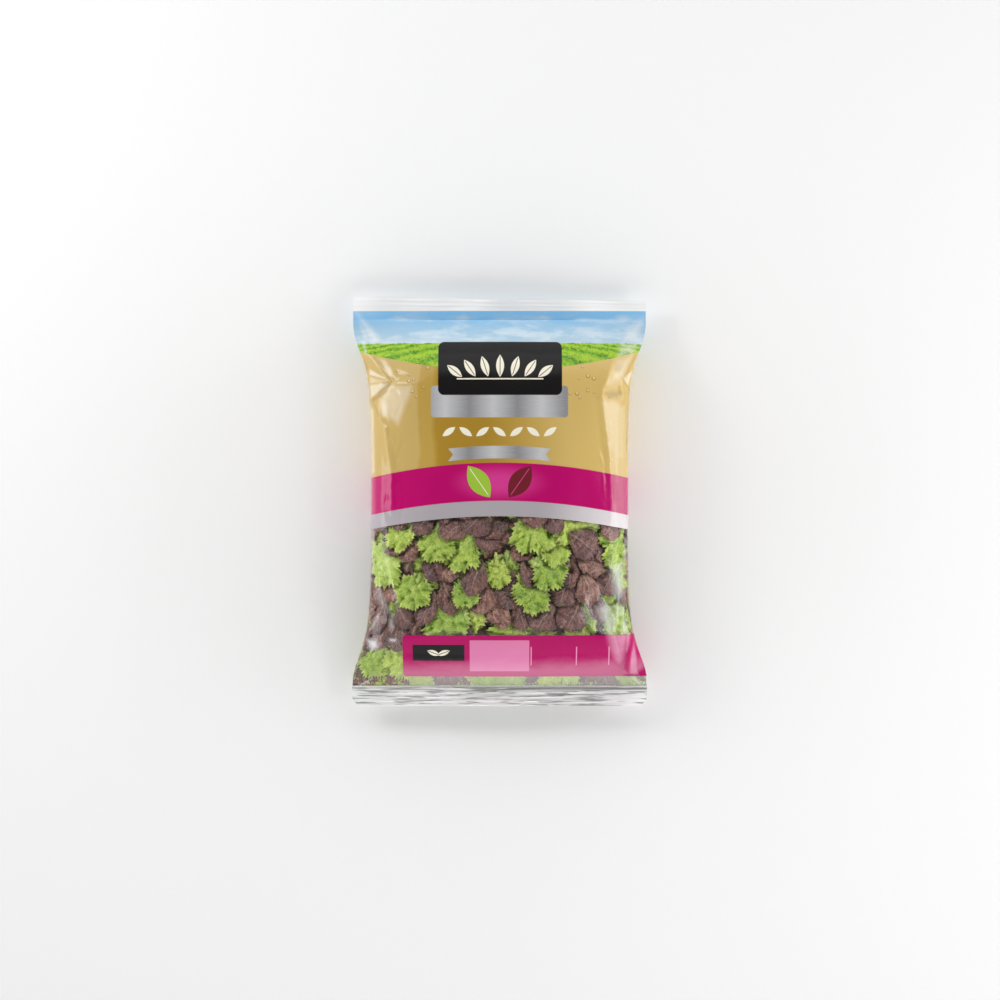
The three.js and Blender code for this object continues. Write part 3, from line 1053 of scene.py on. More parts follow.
def makeRoundedBox():  # 1 inside a box with round corners
    inputs = {"Point": "Vector", "Centre": "Vector", "Half": "Vector", "Radius": "Float", "Soft": "Float"}
    tree, given, result = newGroup("roundedBox", inputs, {"Mask": "Float"})
    away = vectorCalc(tree, "ABSOLUTE", vectorCalc(tree, "SUBTRACT", given["Point"], given["Centre"]))
    parts = separate(tree, vectorCalc(tree, "SUBTRACT", away, given["Half"]))
    overX = plus(tree, parts[0], given["Radius"])
    overY = plus(tree, parts[1], given["Radius"])
    outX, outY = calc(tree, "MAXIMUM", overX, 0.0), calc(tree, "MAXIMUM", overY, 0.0)
    corner = calc(tree, "SQRT", plus(tree, times(tree, outX, outX), times(tree, outY, outY)))
    inner = calc(tree, "MINIMUM", calc(tree, "MAXIMUM", overX, overY), 0.0)
    gap = minus(tree, given["Radius"], plus(tree, corner, inner))
    fromEdge = minus(tree, gap, times(tree, given["Soft"], -0.5))
    mask = fade(tree, calc(tree, "DIVIDE", fromEdge, given["Soft"]), 0.0, 1.0)
    tree.links.new(mask, result["Mask"])
    return tree


def makeLeafMark():  # a plain printed leaf, pointed at both ends, with a rib down its middle
    inputs = {"Point": "Vector", "Centre": "Vector"}
    inputs |= {"Turn": "Float", "HalfLength": "Float", "HalfWidth": "Float"}
    tree, given, result = newGroup("leafMark", inputs, {"Mask": "Float", "Rib": "Float"})
    away = vectorCalc(tree, "SUBTRACT", given["Point"], given["Centre"])
    turned = addNode(tree, "VectorRotate", {"Vector": away, "Angle": given["Turn"]}, rotation_type="Z_AXIS")
    parts = separate(tree, turned[0])
    along = calc(tree, "DIVIDE", parts[0], given["HalfLength"])
    side = calc(tree, "ABSOLUTE", parts[1])
    room = minus(tree, 1.0, times(tree, along, along))
    gap = minus(tree, times(tree, room, given["HalfWidth"]), side)
    tree.links.new(fade(tree, gap, -0.1, 0.25), result["Mask"])
    rib = times(tree, fade(tree, side, 0.45, 0.15), fade(tree, calc(tree, "ABSOLUTE", along), 0.9, 0.75))
    tree.links.new(rib, result["Rib"])
    return tree


def makeDewDrop():  # a printed drop, dark round its lower edge and bright in the middle
    inputs = {"Point": "Vector", "Centre": "Vector", "Radius": "Float"}
    tree, given, result = newGroup("dewDrop", inputs, {"Mask": "Float", "Shade": "Float", "Light": "Float"})
    away = vectorCalc(tree, "SUBTRACT", given["Point"], given["Centre"])
    share = calc(tree, "DIVIDE", vectorCalc(tree, "LENGTH", away), given["Radius"])
    level = calc(tree, "DIVIDE", separate(tree, away)[1], given["Radius"])
    tree.links.new(times(tree, fade(tree, share, 1.1, 0.8), 0.75), result["Mask"])
    rim = times(tree, fade(tree, share, 0.35, 0.95), fade(tree, level, 1.1, -0.3))
    tree.links.new(rim, result["Shade"])
    fromLight = vectorCalc(tree, "LENGTH", vectorCalc(tree, "SUBTRACT", away, (0.2, 0.25, 0.0)))
    tree.links.new(fade(tree, calc(tree, "DIVIDE", fromLight, given["Radius"]), 0.7, 0.2), result["Light"])
    return tree


# Film: its unevenness (noise scales are per millimetre), bump and gloss
filmFinish = {
    "broadScale": 0.045,
    "fineScale": 0.17,
    "fineShare": 0.22,
    "haze": (0.4, 0.75),  # where the fine unevenness starts to look dull, and where it is dullest
    "bump": 0.35,
    "bumpDepth": 0.001,
    "roughness": 0.2,
    "hazeRoughness": 0.07,  # added where it is dull
    "coatRoughness": 0.06,
    "refraction": 1.5,
    "glareMottleScale": 0.22,
    "glareLeast": 0.72,  # the painted highlights vary from here, by as much as the range below
    "glareRange": 0.56,
}


def makeFilmRelief():  # the fine unevenness of thin film, and the dull haze that handling leaves on it
    tree, given, result = newGroup("filmRelief", {"Point": "Vector"}, {"Height": "Float", "Haze": "Float"})
    broad = noise(tree, given["Point"], filmFinish["broadScale"], 2.0)
    fine = noise(tree, given["Point"], filmFinish["fineScale"], 3.0, 0.6)
    tree.links.new(plus(tree, broad, times(tree, fine, filmFinish["fineShare"])), result["Height"])
    tree.links.new(fade(tree, fine, *filmFinish["haze"]), result["Haze"])
    return tree


# Veins, in millimetres on a leaf whose middle is at 0 and whose tip points up
veinLook = {
    "wander": 3.0,  # how far the midrib strays
    "wanderScale": 0.12,
    "ribEnds": (17.0, -17.0),  # where the midrib is thinnest and where it is full
    "ribLeast": 0.15,
    "sideRise": 0.85,  # slope of the side veins
    "sideWander": 1.5,
    "sideSpacing": 1.9,
    "sideWidth": (0.34, 0.06),
    "sideReach": (13.0, 3.0),
    "cellScale": 0.55,
    "cellVein": (0.12, 0.02),
    "cellShare": 0.45,
    "blister": 0.45,
    "fanBase": 19.0,  # the fine folds spread from this far below the leaf's middle
    "fanTurns": 8.5,
    "fanLength": 0.07,
}


def makeLeafVeins():  # a midrib, side veins that slant up from it, and the network between them
    look = veinLook
    outputs = {"Rib": "Float", "Veins": "Float", "Blisters": "Float", "Fan": "Float"}
    tree, given, result = newGroup("leafVeins", {"Place": "Vector"}, outputs)
    across, along, _ = separate(tree, given["Place"])
    sway = times(tree, centredNoise(tree, given["Place"], look["wanderScale"]), look["wander"])
    swayed = plus(tree, across, sway)
    side = calc(tree, "ABSOLUTE", swayed)
    ribWidth = plus(tree, look["ribLeast"], fade(tree, along, *look["ribEnds"]))
    tree.links.new(fade(tree, minus(tree, ribWidth, side), -0.25, 0.4), result["Rib"])
    rising = minus(tree, along, times(tree, side, look["sideRise"]))
    rising = plus(tree, rising, times(tree, sway, look["sideWander"]))
    beat = calc(tree, "PINGPONG", rising, look["sideSpacing"])
    sideVeins = times(tree, fade(tree, beat, *look["sideWidth"]), fade(tree, side, *look["sideReach"]))
    sockets = {"Vector": given["Place"], "Scale": look["cellScale"]}
    cells = addNode(tree, "TexVoronoi", sockets, feature="DISTANCE_TO_EDGE")["Distance"]
    network = times(tree, fade(tree, cells, *look["cellVein"]), look["cellShare"])
    tree.links.new(calc(tree, "MAXIMUM", sideVeins, network), result["Veins"])
    tree.links.new(fade(tree, cells, 0.0, look["blister"]), result["Blisters"])
    turn = calc(tree, "ARCTAN2", swayed, plus(tree, along, look["fanBase"]))
    spread = combine(tree, times(tree, turn, look["fanTurns"]), times(tree, along, look["fanLength"]))
    tree.links.new(noise(tree, spread, 1.0, 3.0, 0.55), result["Fan"])
    return tree


bandEdge = makeBandEdge()
roundedBox = makeRoundedBox()
leafMark = makeLeafMark()
filmRelief = makeFilmRelief()
dewDrop = makeDewDrop()
leafVeins = makeLeafVeins()

# The print, in millimetres on the bag, with its colours.
# A box is its middle x and y, half its width and height, and its corner radius.
# A printed leaf is its middle x and y, its turn in degrees, and half its length and width.
packPrint = {
    "front": (40.0, 46.0),  # heights above the table between which the front's own artwork begins
    "skyHigh": (0.26, 0.57, 0.89),
    "skyMiddle": (0.26, 0.49, 0.7),
    "skyLow": (0.4, 0.54, 0.64),
    "cloud": rgb(0.64, 0.72, 0.77),
    "cloudStretch": (0.55, 1.5, 1.0),
    "cloudScale": 0.06,
    "cloudEdge": (0.42, 0.68),
    "cloudThinning": 0.75,  # share of the clouds that is gone at the top
    "cloudShare": 0.85,
    # colours of the painted highlights and the painted shade on the film's folds
    "paintedGlare": rgb(0.93, 0.89, 0.8),
    "paintedShade": rgb(0.2, 0.12, 0.03),
    "fieldTop": 132.0,
    "fieldRough": 3.0,  # unevenness of the horizon
    "fieldBright": (0.36, 0.54, 0.02),
    "fieldMiddle": (0.14, 0.36, 0.008),
    "fieldDark": (0.025, 0.13, 0.005),
    "rowsMeet": 14.0,  # above the horizon
    "rowCount": 1.35,
    "hedgeScale": 0.36, "hedgeSway": 16.0,
    "clumpScale": 0.16, "clumpSway": 34.0,
    "leafyScale": 0.8,
    "rowShade": 0.26, "leafShade": 0.75,
    "goldTop": 108.5, "goldTopDrop": -14.0,
    "goldEnds": 112.0,
    "goldDrift": 9.0, "driftScale": 0.03,
    "goldLeft": (0.54, 0.38, 0.13),
    "goldStep": (0.48, 0.315, 0.07),
    "goldDark": (0.38, 0.225, 0.028),
    "goldMiddle": (0.47, 0.3, 0.06),
    "goldLight": (0.61, 0.43, 0.14),
    "dew": {
        "seed": 8, "count": 22, "from": (58.0, 92.0), "height": (84.0, 112.0), "radius": (0.9, 2.1),
        "dark": rgb(0.22, 0.11, 0.02), "light": rgb(0.72, 0.58, 0.34),
    },
    "magentaTop": 31.8, "magentaDrop": 12.4,
    "magenta": rgb(0.47, 0.004, 0.13),
    "magentaGlow": rgb(0.68, 0.06, 0.3),
    "glowPlace": (0, 15.5, 0), "glowSize": (46, 18), "glowShare": 0.75,
    "greyTop": 0.2, "greyDrop": 12.0,
    "grey": rgb(0.4, 0.37, 0.39),
    "greyLight": rgb(0.68, 0.63, 0.65),
    "greyFade": (30.0, 90.0),
    "plate": (0, 82.6, 57, 13.2, 3.0),
    "ribbon": {"middle": 40.6, "half": 42.5, "halfHeight": 5.2, "drop": 2.4, "notch": 4.0},
    "silverDark": (0.25, 0.25, 0.26),
    "silverLight": (0.54, 0.54, 0.55),
    "brushing": (0.25, 6.0, 1.0), "brushScale": 0.3, "brushShare": 0.25, "sheenLength": 40.0,
    "panel": rgb(0.011, 0.01, 0.01),
    "panelBox": (0.5, 110.5, 51.5, 22.5, 5.0),
    "stem": (0.5, 101.5, 36, 0.55, 0.5),
    "sprig": [
        (0.5 + 12.6 * k, 112.5 - 0.5 * k**2, 17 * k - 90, 9.5 - 0.5 * abs(k), 3.4) for k in range(-3, 4)
    ],
    "leafRow": [(14 * k, 57.5, 35 if k % 2 == 0 else -35, 6.6, 2.6) for k in range(-3, 4)],
    "greenLeaf": (-17, 16, 55, 16, 8.5),
    "redLeaf": (17, 16, 125, 16, 8.5),
    "cream": rgb(0.88, 0.83, 0.68),
    "leafGreen": rgb(0.33, 0.52, 0.05),
    "leafRed": rgb(0.16, 0.018, 0.025),
    "shine": 0.12,
    "coat": 0.4, "panelCoatLoss": 0.3,
}


def leafOnPrint(tree, colour, place, mask, leaf, leafColour, ribColour):
    x, y, turn, halfLength, halfWidth = leaf
    sockets = {"Point": place, "Centre": (x, y, 0), "Turn": math.radians(turn)}
    marks = useGroup(tree, leafMark, **sockets, HalfLength=halfLength, HalfWidth=halfWidth)
    colour = paint(tree, colour, leafColour, times(tree, marks["Mask"], mask))
    return paint(tree, colour, ribColour, times(tree, marks["Rib"], mask))


def boxOnPrint(tree, place, mask, x, y, halfX, halfY, radius):
    sockets = {"Point": place, "Centre": (x, y, 0), "Half": (halfX, halfY, 1000), "Radius": radius}
    box = useGroup(tree, roundedBox, **sockets, Soft=printEdge["box"])["Mask"]
    return times(tree, box, mask)


def ribbonOnPrint(tree, x, y, middle, half, halfHeight, drop, notch):  # arched, with a notch in each end
    soft = printEdge["ribbon"]
    share = calc(tree, "DIVIDE", x, half)
    rise = minus(tree, middle, times(tree, share, share, drop))
    away = calc(tree, "ABSOLUTE", minus(tree, y, rise))
    inside = fade(tree, minus(tree, halfHeight, away), -soft, soft)
    cut = times(tree, minus(tree, 1.0, calc(tree, "DIVIDE", away, halfHeight)), notch)
    room = minus(tree, minus(tree, half, cut), calc(tree, "ABSOLUTE", x))
    return times(tree, inside, fade(tree, room, -soft, soft))


def dewOnPrint(tree, colour, place, mask):  # small printed drops on both sides of the panel
    look = packPrint["dew"]
    draw = np.random.default_rng(look["seed"])
    for k in range(look["count"]):
        x = draw.uniform(*look["from"]) * (-1 if k % 2 else 1)
        y = draw.uniform(*look["height"])
        drop = useGroup(tree, dewDrop, Point=place, Centre=(x, y, 0), Radius=draw.uniform(*look["radius"]))
        inside = times(tree, drop["Mask"], mask)
        colour = paint(tree, colour, look["dark"], times(tree, inside, drop["Shade"]))
        colour = paint(tree, colour, look["light"], times(tree, inside, drop["Light"]))
    return colour


def paintedLightShares(tree, flat):  # the painted highlight and the painted shade share of the film at a point, a little uneven
    paintedGlare, paintedShade, _ = addNode(tree, "SeparateColor", {0: attribute(tree, "paintedLight", "Color")})
    mottle = noise(tree, flat, filmFinish["glareMottleScale"], 3.0, 0.6)
    uneven = plus(tree, filmFinish["glareLeast"], times(tree, mottle, filmFinish["glareRange"]))
    return times(tree, paintedGlare, uneven, minus(tree, 1.0, paintedShade)), paintedShade


def glossyFilm(tree, colour, place, shine, coat):
    relief = useGroup(tree, filmRelief, Point=place)
    normal = bumpNormal(tree, relief["Height"], filmFinish["bump"], filmFinish["bumpDepth"])
    rough = plus(tree, filmFinish["roughness"], times(tree, relief["Haze"], filmFinish["hazeRoughness"]))
    sockets = {"IOR": filmFinish["refraction"], "Specular IOR Level": shine, "Normal": normal}
    sockets |= {"Coat Weight": coat, "Coat Roughness": filmFinish["coatRoughness"], "Coat Normal": normal}
    return principled(tree, colour, rough, sockets)


def skyOnPrint(tree, place, y):  # with soft clouds that thicken downwards
    look = packPrint
    height = calc(tree, "DIVIDE", minus(tree, y, look["fieldTop"]), topWeld - look["fieldTop"])
    colour = ramp(tree, height, [(0.0, look["skyLow"]), (0.66, look["skyMiddle"]), (0.8, look["skyHigh"])])
    stretched = vectorCalc(tree, "MULTIPLY", place, look["cloudStretch"])
    clouds = fade(tree, noise(tree, stretched, look["cloudScale"], 5.0, 0.62), *look["cloudEdge"])
    thick = minus(tree, 1.0, times(tree, height, look["cloudThinning"]))
    return paint(tree, colour, look["cloud"], times(tree, clouds, thick, look["cloudShare"]))


def fieldOnPrint(tree, colour, place, x, y):  # in rows that run to the middle of the horizon
    look = packPrint
    hedge = noise(tree, place, look["hedgeScale"], 5.0, 0.7)
    clumps = noise(tree, place, look["clumpScale"], 3.0, 0.6)
    leafy = noise(tree, place, look["leafyScale"], 4.0, 0.75)
    sway = plus(tree, times(tree, hedge, look["hedgeSway"]), times(tree, clumps, look["clumpSway"]))
    down = minus(tree, look["fieldTop"] + look["rowsMeet"], y)
    rowWave = calc(tree, "DIVIDE", plus(tree, calc(tree, "ABSOLUTE", x), sway), down)
    rows = calc(tree, "PINGPONG", times(tree, rowWave, look["rowCount"]), 1.0)
    shade = plus(tree, times(tree, rows, look["rowShade"]), times(tree, hedge, look["leafShade"]))
    shade = plus(tree, shade, times(tree, leafy, look["leafShade"]))
    stops = [(0.66, look["fieldDark"]), (0.8, look["fieldMiddle"]), (1.0, look["fieldBright"])]
    rough = times(tree, minus(tree, hedge, 0.5), look["fieldRough"])
    horizon = useGroup(tree, bandEdge, X=x, Y=plus(tree, y, rough), Middle=look["fieldTop"], Drop=0.0)
    return paint(tree, colour, ramp(tree, shade, stops), horizon["Mask"])


def goldColour(tree, place, x):  # darker on the left of the middle and lighter towards both sides
    look = packPrint
    drift = times(tree, centredNoise(tree, place, look["driftScale"]), look["goldDrift"])
    sweep = fade(tree, plus(tree, x, drift), -look["goldEnds"], look["goldEnds"])
    places = (0.0, 0.1, 0.11, 0.155, 0.18, 0.42, 0.6, 0.84)
    names = ("Left", "Left", "Step", "Step", "Dark", "Dark", "Middle", "Light")
    return ramp(tree, sweep, [(place, look["gold" + name]) for place, name in zip(places, names)])


def magentaColour(tree, flat, mask):  # with a glow behind the two printed leaves
    look = packPrint
    width, height = look["glowSize"]
    away = vectorCalc(tree, "SUBTRACT", flat, look["glowPlace"])
    away = vectorCalc(tree, "LENGTH", vectorCalc(tree, "MULTIPLY", away, (1 / width, 1 / height, 0)))
    glow = times(tree, fade(tree, away, 1.0, 0.2), look["glowShare"], mask)
    return paint(tree, look["magenta"], look["magentaGlow"], glow)


def silverColour(tree, place, x):  # brushed across the bag
    look = packPrint
    brushed = noise(tree, vectorCalc(tree, "MULTIPLY", place, look["brushing"]), look["brushScale"], 4.0)
    sweep = calc(tree, "DIVIDE", x, look["sheenLength"])
    sheen = calc(tree, "PINGPONG", plus(tree, sweep, times(tree, brushed, look["brushShare"])), 0.5)
    return ramp(tree, times(tree, sheen, 2.0), [(0.0, look["silverLight"]), (1.0, look["silverDark"])])


def printMaterial():
    look = packPrint
    material, tree = newTree("printedFilm")
    place, x, y, z = objectMillimetres(tree)
    flat = combine(tree, x, y)
    onFront = fade(tree, z, *look["front"])
    # bands, from the top down, each laid over the one above it
    colour = fieldOnPrint(tree, skyOnPrint(tree, place, y), place, x, y)
    edge = useGroup(tree, bandEdge, X=x, Y=y, Middle=look["goldTop"], Drop=look["goldTopDrop"])["Mask"]
    colour = paint(tree, colour, goldColour(tree, place, x), edge)
    colour = dewOnPrint(tree, colour, flat, times(tree, edge, onFront))
    edge = useGroup(tree, bandEdge, X=x, Y=y, Middle=look["magentaTop"], Drop=look["magentaDrop"])["Mask"]
    colour = paint(tree, colour, magentaColour(tree, flat, onFront), edge)
    edge = useGroup(tree, bandEdge, X=x, Y=y, Middle=look["greyTop"], Drop=look["greyDrop"])["Mask"]
    grey = paint(tree, look["grey"], look["greyLight"], fade(tree, x, *look["greyFade"]))
    colour = paint(tree, colour, grey, edge)
    # a sprig in cream on a dark panel, on a silver plate
    silver = silverColour(tree, place, x)
    colour = paint(tree, colour, silver, boxOnPrint(tree, flat, onFront, *look["plate"]))
    panel = boxOnPrint(tree, flat, onFront, *look["panelBox"])
    colour = paint(tree, colour, look["panel"], panel)
    colour = paint(tree, colour, look["cream"], boxOnPrint(tree, flat, onFront, *look["stem"]))
    for leaf in look["sprig"]:
        colour = leafOnPrint(tree, colour, flat, onFront, leaf, look["cream"], look["panel"])
    # a silver ribbon, a row of cream leaves above it, and a green and a red leaf below
    ribbon = times(tree, ribbonOnPrint(tree, x, y, **look["ribbon"]), onFront)
    colour = paint(tree, colour, silver, ribbon)
    for leaf in look["leafRow"]:
        colour = leafOnPrint(tree, colour, flat, onFront, leaf, look["cream"], look["cream"])
    colour = leafOnPrint(tree, colour, flat, onFront, look["greenLeaf"], look["leafGreen"], look["cream"])
    colour = leafOnPrint(tree, colour, flat, onFront, look["redLeaf"], look["leafRed"], look["magentaGlow"])
    # painted highlights where the film's folds catch the lamps, and painted shade in its folds
    paintedGlare, paintedShade = paintedLightShares(tree, flat)
    colour = paint(tree, colour, look["paintedGlare"], paintedGlare)
    colour = paint(tree, colour, look["paintedShade"], paintedShade)
    coat = minus(tree, look["coat"], times(tree, panel, look["panelCoatLoss"]))
    shader = glossyFilm(tree, colour, place, look["shine"], coat)
    addNode(tree, "OutputMaterial", {"Surface": shader})
    return material


labelLook = {
    "front": (24.0, 27.0),
    "magenta": rgb(0.45, 0.001, 0.115),
    "pink": rgb(0.72, 0.21, 0.41),
    "paintedLight": rgb(0.86, 0.5, 0.66),  # painted reflection along the label's lower edge, and painted highlights at its right end
    "plate": rgb(0.011, 0.01, 0.01),
    "line": rgb(0.78, 0.35, 0.55),
    "plateBox": (-50.8, -126.6, 21.6, 6.9, 0.6),
    "plateLeaves": [(-55, -126.6, 200, 5.6, 2.3), (-46.6, -126.6, -20, 5.6, 2.3)],
    "pinkBox": (0, -129.2, 24.8, 13.4, 0.6),
    "lines": [(x, -129.4, 0.4, 8.0, 0.2) for x in (26.4, 64.2, 91.5)],
    "paintedVeil": (-129.0, -144.0), "veilShare": 0.3,  # a painted reflection down the label's lower edge
    "veilScale": 0.07, "veilDrift": 9.0, "veilSlope": 0.02,
    "shine": 0.05, "coat": 0.14,
}


def labelMaterial():
    look = labelLook
    material, tree = newTree("labelPrint")
    place, x, y, z = objectMillimetres(tree)
    flat = combine(tree, x, y)
    onFront = fade(tree, z, *look["front"])
    colour = paint(tree, look["magenta"], look["plate"], boxOnPrint(tree, flat, onFront, *look["plateBox"]))
    for leaf in look["plateLeaves"]:
        colour = leafOnPrint(tree, colour, flat, onFront, leaf, packPrint["cream"], look["plate"])
    colour = paint(tree, colour, look["pink"], boxOnPrint(tree, flat, onFront, *look["pinkBox"]))
    for line in look["lines"]:
        colour = paint(tree, colour, look["line"], boxOnPrint(tree, flat, onFront, *line))
    # a painted reflection along the label's lower edge, then painted highlights and painted shade from the
    # film's folds
    drift = times(tree, centredNoise(tree, place, look["veilScale"], 2.0), look["veilDrift"])
    lower = minus(tree, plus(tree, y, drift), times(tree, x, look["veilSlope"]))
    paintedVeil = times(tree, fade(tree, lower, *look["paintedVeil"]), look["veilShare"], onFront)
    paintedGlare, paintedShade = paintedLightShares(tree, flat)
    colour = paint(tree, colour, look["paintedLight"], calc(tree, "MAXIMUM", paintedVeil, paintedGlare))
    colour = paint(tree, colour, look["magenta"], paintedShade)
    shader = glossyFilm(tree, colour, place, look["shine"], look["coat"])
    addNode(tree, "OutputMaterial", {"Surface": shader})
    return material


clearLook = {
    "white": rgb(1.0, 1.0, 1.0),
    "windowHaze": 0.006,
    "topSealHaze": 1.0,
    "bottomSealHaze": 0.9,
    "weldEdge": 0.6,  # softness of the edge of a seal
    "lowPaintedVeil": 0.22,  # a painted reflection below the label, as white film
    "lowVeilDown": (-136.0, -145.0),
    "lowVeilAcross": (-100.0, -60.0),
    # painted shade along the crimps of the bottom seal
    "crimpShadeColour": rgb(0.3, 0.31, 0.31),
    "crimpLines": (0.06, 1.0, 0.0), "crimpScale": 0.55, "crimpShare": 0.85,
    "weldLine": 1.4, "weldWidth": (1.5, 0.7), "weldScale": 0.3,  # the painted shade line where the bottom seal begins
    "milkRoughness": 0.35,
    "shine": 0.03,
    "glancing": 0.4, "glancePower": 4.0,
    "roughness": 0.1,
}


def paintedCrimpShade(tree, place, y):  # painted shade in broken grey lines along the crimps of the bottom seal
    look = clearLook
    lines = vectorCalc(tree, "MULTIPLY", place, look["crimpLines"])
    broken = fade(tree, noise(tree, lines, look["crimpScale"], 2.0, 0.6), 0.5, 0.6)
    grey = times(tree, broken, look["crimpShare"])
    fromWeld = calc(tree, "ABSOLUTE", minus(tree, y, bottomWeld - look["weldLine"]))
    broken = fade(tree, noise(tree, lines, look["weldScale"]), 0.4, 0.5)
    grey = calc(tree, "MAXIMUM", grey, times(tree, fade(tree, fromWeld, *look["weldWidth"]), broken))
    return times(tree, grey, fade(tree, y, bottomWeld + 0.2, bottomWeld - look["weldEdge"]))


def clearMaterial():
    look = clearLook
    material, tree = newTree("clearFilm")
    place, x, y, _ = objectMillimetres(tree)
    relief = useGroup(tree, filmRelief, Point=place)
    normal = bumpNormal(tree, relief["Height"], filmFinish["bump"], filmFinish["bumpDepth"])
    soft = look["weldEdge"]
    topHaze = times(tree, fade(tree, y, topWeld - soft, topWeld), look["topSealHaze"])
    bottomHaze = times(tree, fade(tree, y, bottomWeld + soft, bottomWeld - soft), look["bottomSealHaze"])
    # painted reflection below the label and painted highlights from the film's folds, both as white film in
    # place of clear
    low = times(tree, fade(tree, y, *look["lowVeilDown"]), fade(tree, x, *look["lowVeilAcross"]))
    low = times(tree, low, look["lowPaintedVeil"])
    paintedGlare, _ = paintedLightShares(tree, combine(tree, x, y))
    dull = times(tree, relief["Haze"], look["windowHaze"])
    haze = plus(tree, topHaze, bottomHaze, low, paintedGlare, dull, look["windowHaze"])
    # painted shade in grey along the crimps
    white = paint(tree, look["white"], look["crimpShadeColour"], paintedCrimpShade(tree, place, y))
    milk = principled(tree, white, look["milkRoughness"], {"Normal": normal})
    through = addNode(tree, "BsdfTransparent", {})[0]
    body = addNode(tree, "MixShader", {0: haze, 1: through, 2: milk})[0]
    gloss = addNode(tree, "BsdfGlossy", {"Roughness": look["roughness"], "Normal": normal})[0]
    # thin film shines alike from both sides, so its gloss comes from the angle, not from a change of medium
    glance = addNode(tree, "LayerWeight", {"Blend": 0.5, "Normal": normal})["Facing"]
    glance = times(tree, calc(tree, "POWER", glance, look["glancePower"]), look["glancing"])
    shine = plus(tree, look["shine"], glance)
    shader = addNode(tree, "MixShader", {0: shine, 1: body, 2: gloss})[0]
    addNode(tree, "OutputMaterial", {"Surface": shader})
    return material


greenLook = {
    "blade": (0.4, 0.57, 0.03), "pale": (0.66, 0.78, 0.13), "deep": (0.16, 0.32, 0.006),
    "lightness": -0.2,
    "tint": rgb(0.24, 0.46, 0.03), "tintShare": 0.5,
    "rib": rgb(0.64, 0.74, 0.27), "base": rgb(0.6, 0.7, 0.3),
    "rim": rgb(0.62, 0.74, 0.17), "rimShare": 0.5, "spread": 0.5, "relief": 1.0,
    "ribShare": 0.4, "veinShare": 0.4, "streakShare": 0.6, "crinkle": 0.7,
    "roughness": 0.34, "shine": 0.6,
}
redLook = {
    "blade": (0.19, 0.052, 0.032), "pale": (0.54, 0.29, 0.2), "deep": (0.03, 0.006, 0.005),
    "lightness": -0.27,
    "tint": rgb(0.13, 0.045, 0.052), "tintShare": 0.55,
    "rib": rgb(0.52, 0.34, 0.26), "base": rgb(0.24, 0.22, 0.07),
    "rim": rgb(0.1, 0.028, 0.022), "rimShare": 0.35, "spread": 0.35, "relief": 0.55,
    "ribShare": 0.42, "veinShare": 0.34, "streakShare": 1.25, "crinkle": 0.22,
    "roughness": 0.26, "shine": 0.7,
}
bladeLook = {  # what green and red leaves have in common
    "toneShift": 70.0,  # how far apart the patterns of two leaves are, in millimetres
    "blotchScale": 0.17, "blotchShare": 1.4, "blotchRoughness": 0.2,
    "crinkleScale": 0.7,
    "baseFade": (-2.0, -17.0), "baseLeast": 0.2, "baseRange": 0.6,
    "rimFrom": 0.8,
    "blisterBump": 0.7, "blotchBump": 0.9, "fineBump": 1.6,
    "bump": 0.9, "bumpDepth": 0.0009,
}


def leafMaterial(name, look):
    blade = bladeLook
    material, tree = newTree(name)
    onLeaf = vectorCalc(tree, "SUBTRACT", addNode(tree, "UVMap", {})[0], (0.5, 0.5, 0))
    onLeaf = vectorCalc(tree, "SCALE", onLeaf, leafForm["uvSize"])
    tone = attribute(tree, "leafTone", "Color")
    spreadTone, baseTone, tintTone = addNode(tree, "SeparateColor", {0: tone})
    own = vectorCalc(tree, "ADD", onLeaf, vectorCalc(tree, "SCALE", tone, blade["toneShift"]))
    blotch = noise(tree, own, blade["blotchScale"], 4.0, 0.65)
    veins = useGroup(tree, leafVeins, Place=onLeaf)
    streaks = times(tree, minus(tree, veins["Fan"], 0.5), look["streakShare"])
    crinkle = times(tree, centredNoise(tree, own, blade["crinkleScale"], 4.0, 0.7), look["crinkle"])
    level = plus(tree, times(tree, blotch, blade["blotchShare"]), times(tree, spreadTone, look["spread"]))
    level = plus(tree, level, look["lightness"], streaks, crinkle)
    colour = ramp(tree, level, [(0.3, look["deep"]), (0.65, look["blade"]), (1.0, look["pale"])])
    colour = paint(tree, colour, look["tint"], times(tree, tintTone, look["tintShare"]))
    nearBase = plus(tree, blade["baseLeast"], times(tree, baseTone, blade["baseRange"]))
    nearBase = times(tree, fade(tree, separate(tree, onLeaf)[1], *blade["baseFade"]), nearBase)
    colour = paint(tree, colour, look["base"], nearBase)
    colour = paint(tree, colour, look["rib"], times(tree, veins["Veins"], look["veinShare"]))
    colour = paint(tree, colour, look["rib"], times(tree, veins["Rib"], look["ribShare"]))
    rim = fade(tree, attribute(tree, "leafRim", "Fac"), blade["rimFrom"], 1.0)
    colour = paint(tree, colour, look["rim"], times(tree, rim, look["rimShare"]))
    fine = times(tree, plus(tree, streaks, crinkle), blade["fineBump"] * look["relief"])
    blisters = times(tree, veins["Blisters"], blade["blisterBump"])
    height = plus(tree, blisters, times(tree, blotch, blade["blotchBump"]), fine)
    normal = bumpNormal(tree, height, blade["bump"], blade["bumpDepth"])
    rough = plus(tree, look["roughness"], times(tree, blotch, blade["blotchRoughness"]))
    shader = principled(tree, colour, rough, {"Specular IOR Level": look["shine"], "Normal": normal})
    addNode(tree, "OutputMaterial", {"Surface": shader})
    return material


shadeCoreLook = {
    # painted shade: dark colours for the deeper leaves, darker still in blotches
    "patchScale": 0.06,
    "patches": [
        (0.0, (0.05, 0.022, 0.02)),
        (0.5, (0.09, 0.05, 0.035)),
        (0.55, (0.07, 0.12, 0.015)),
        (1.0, (0.12, 0.2, 0.025)),
    ],
    "dark": rgb(0.02, 0.02, 0.01), "darkScale": 0.25, "darkFade": (0.35, 0.7),
    "bump": 0.8, "bumpDepth": 0.001, "roughness": 0.5,
}


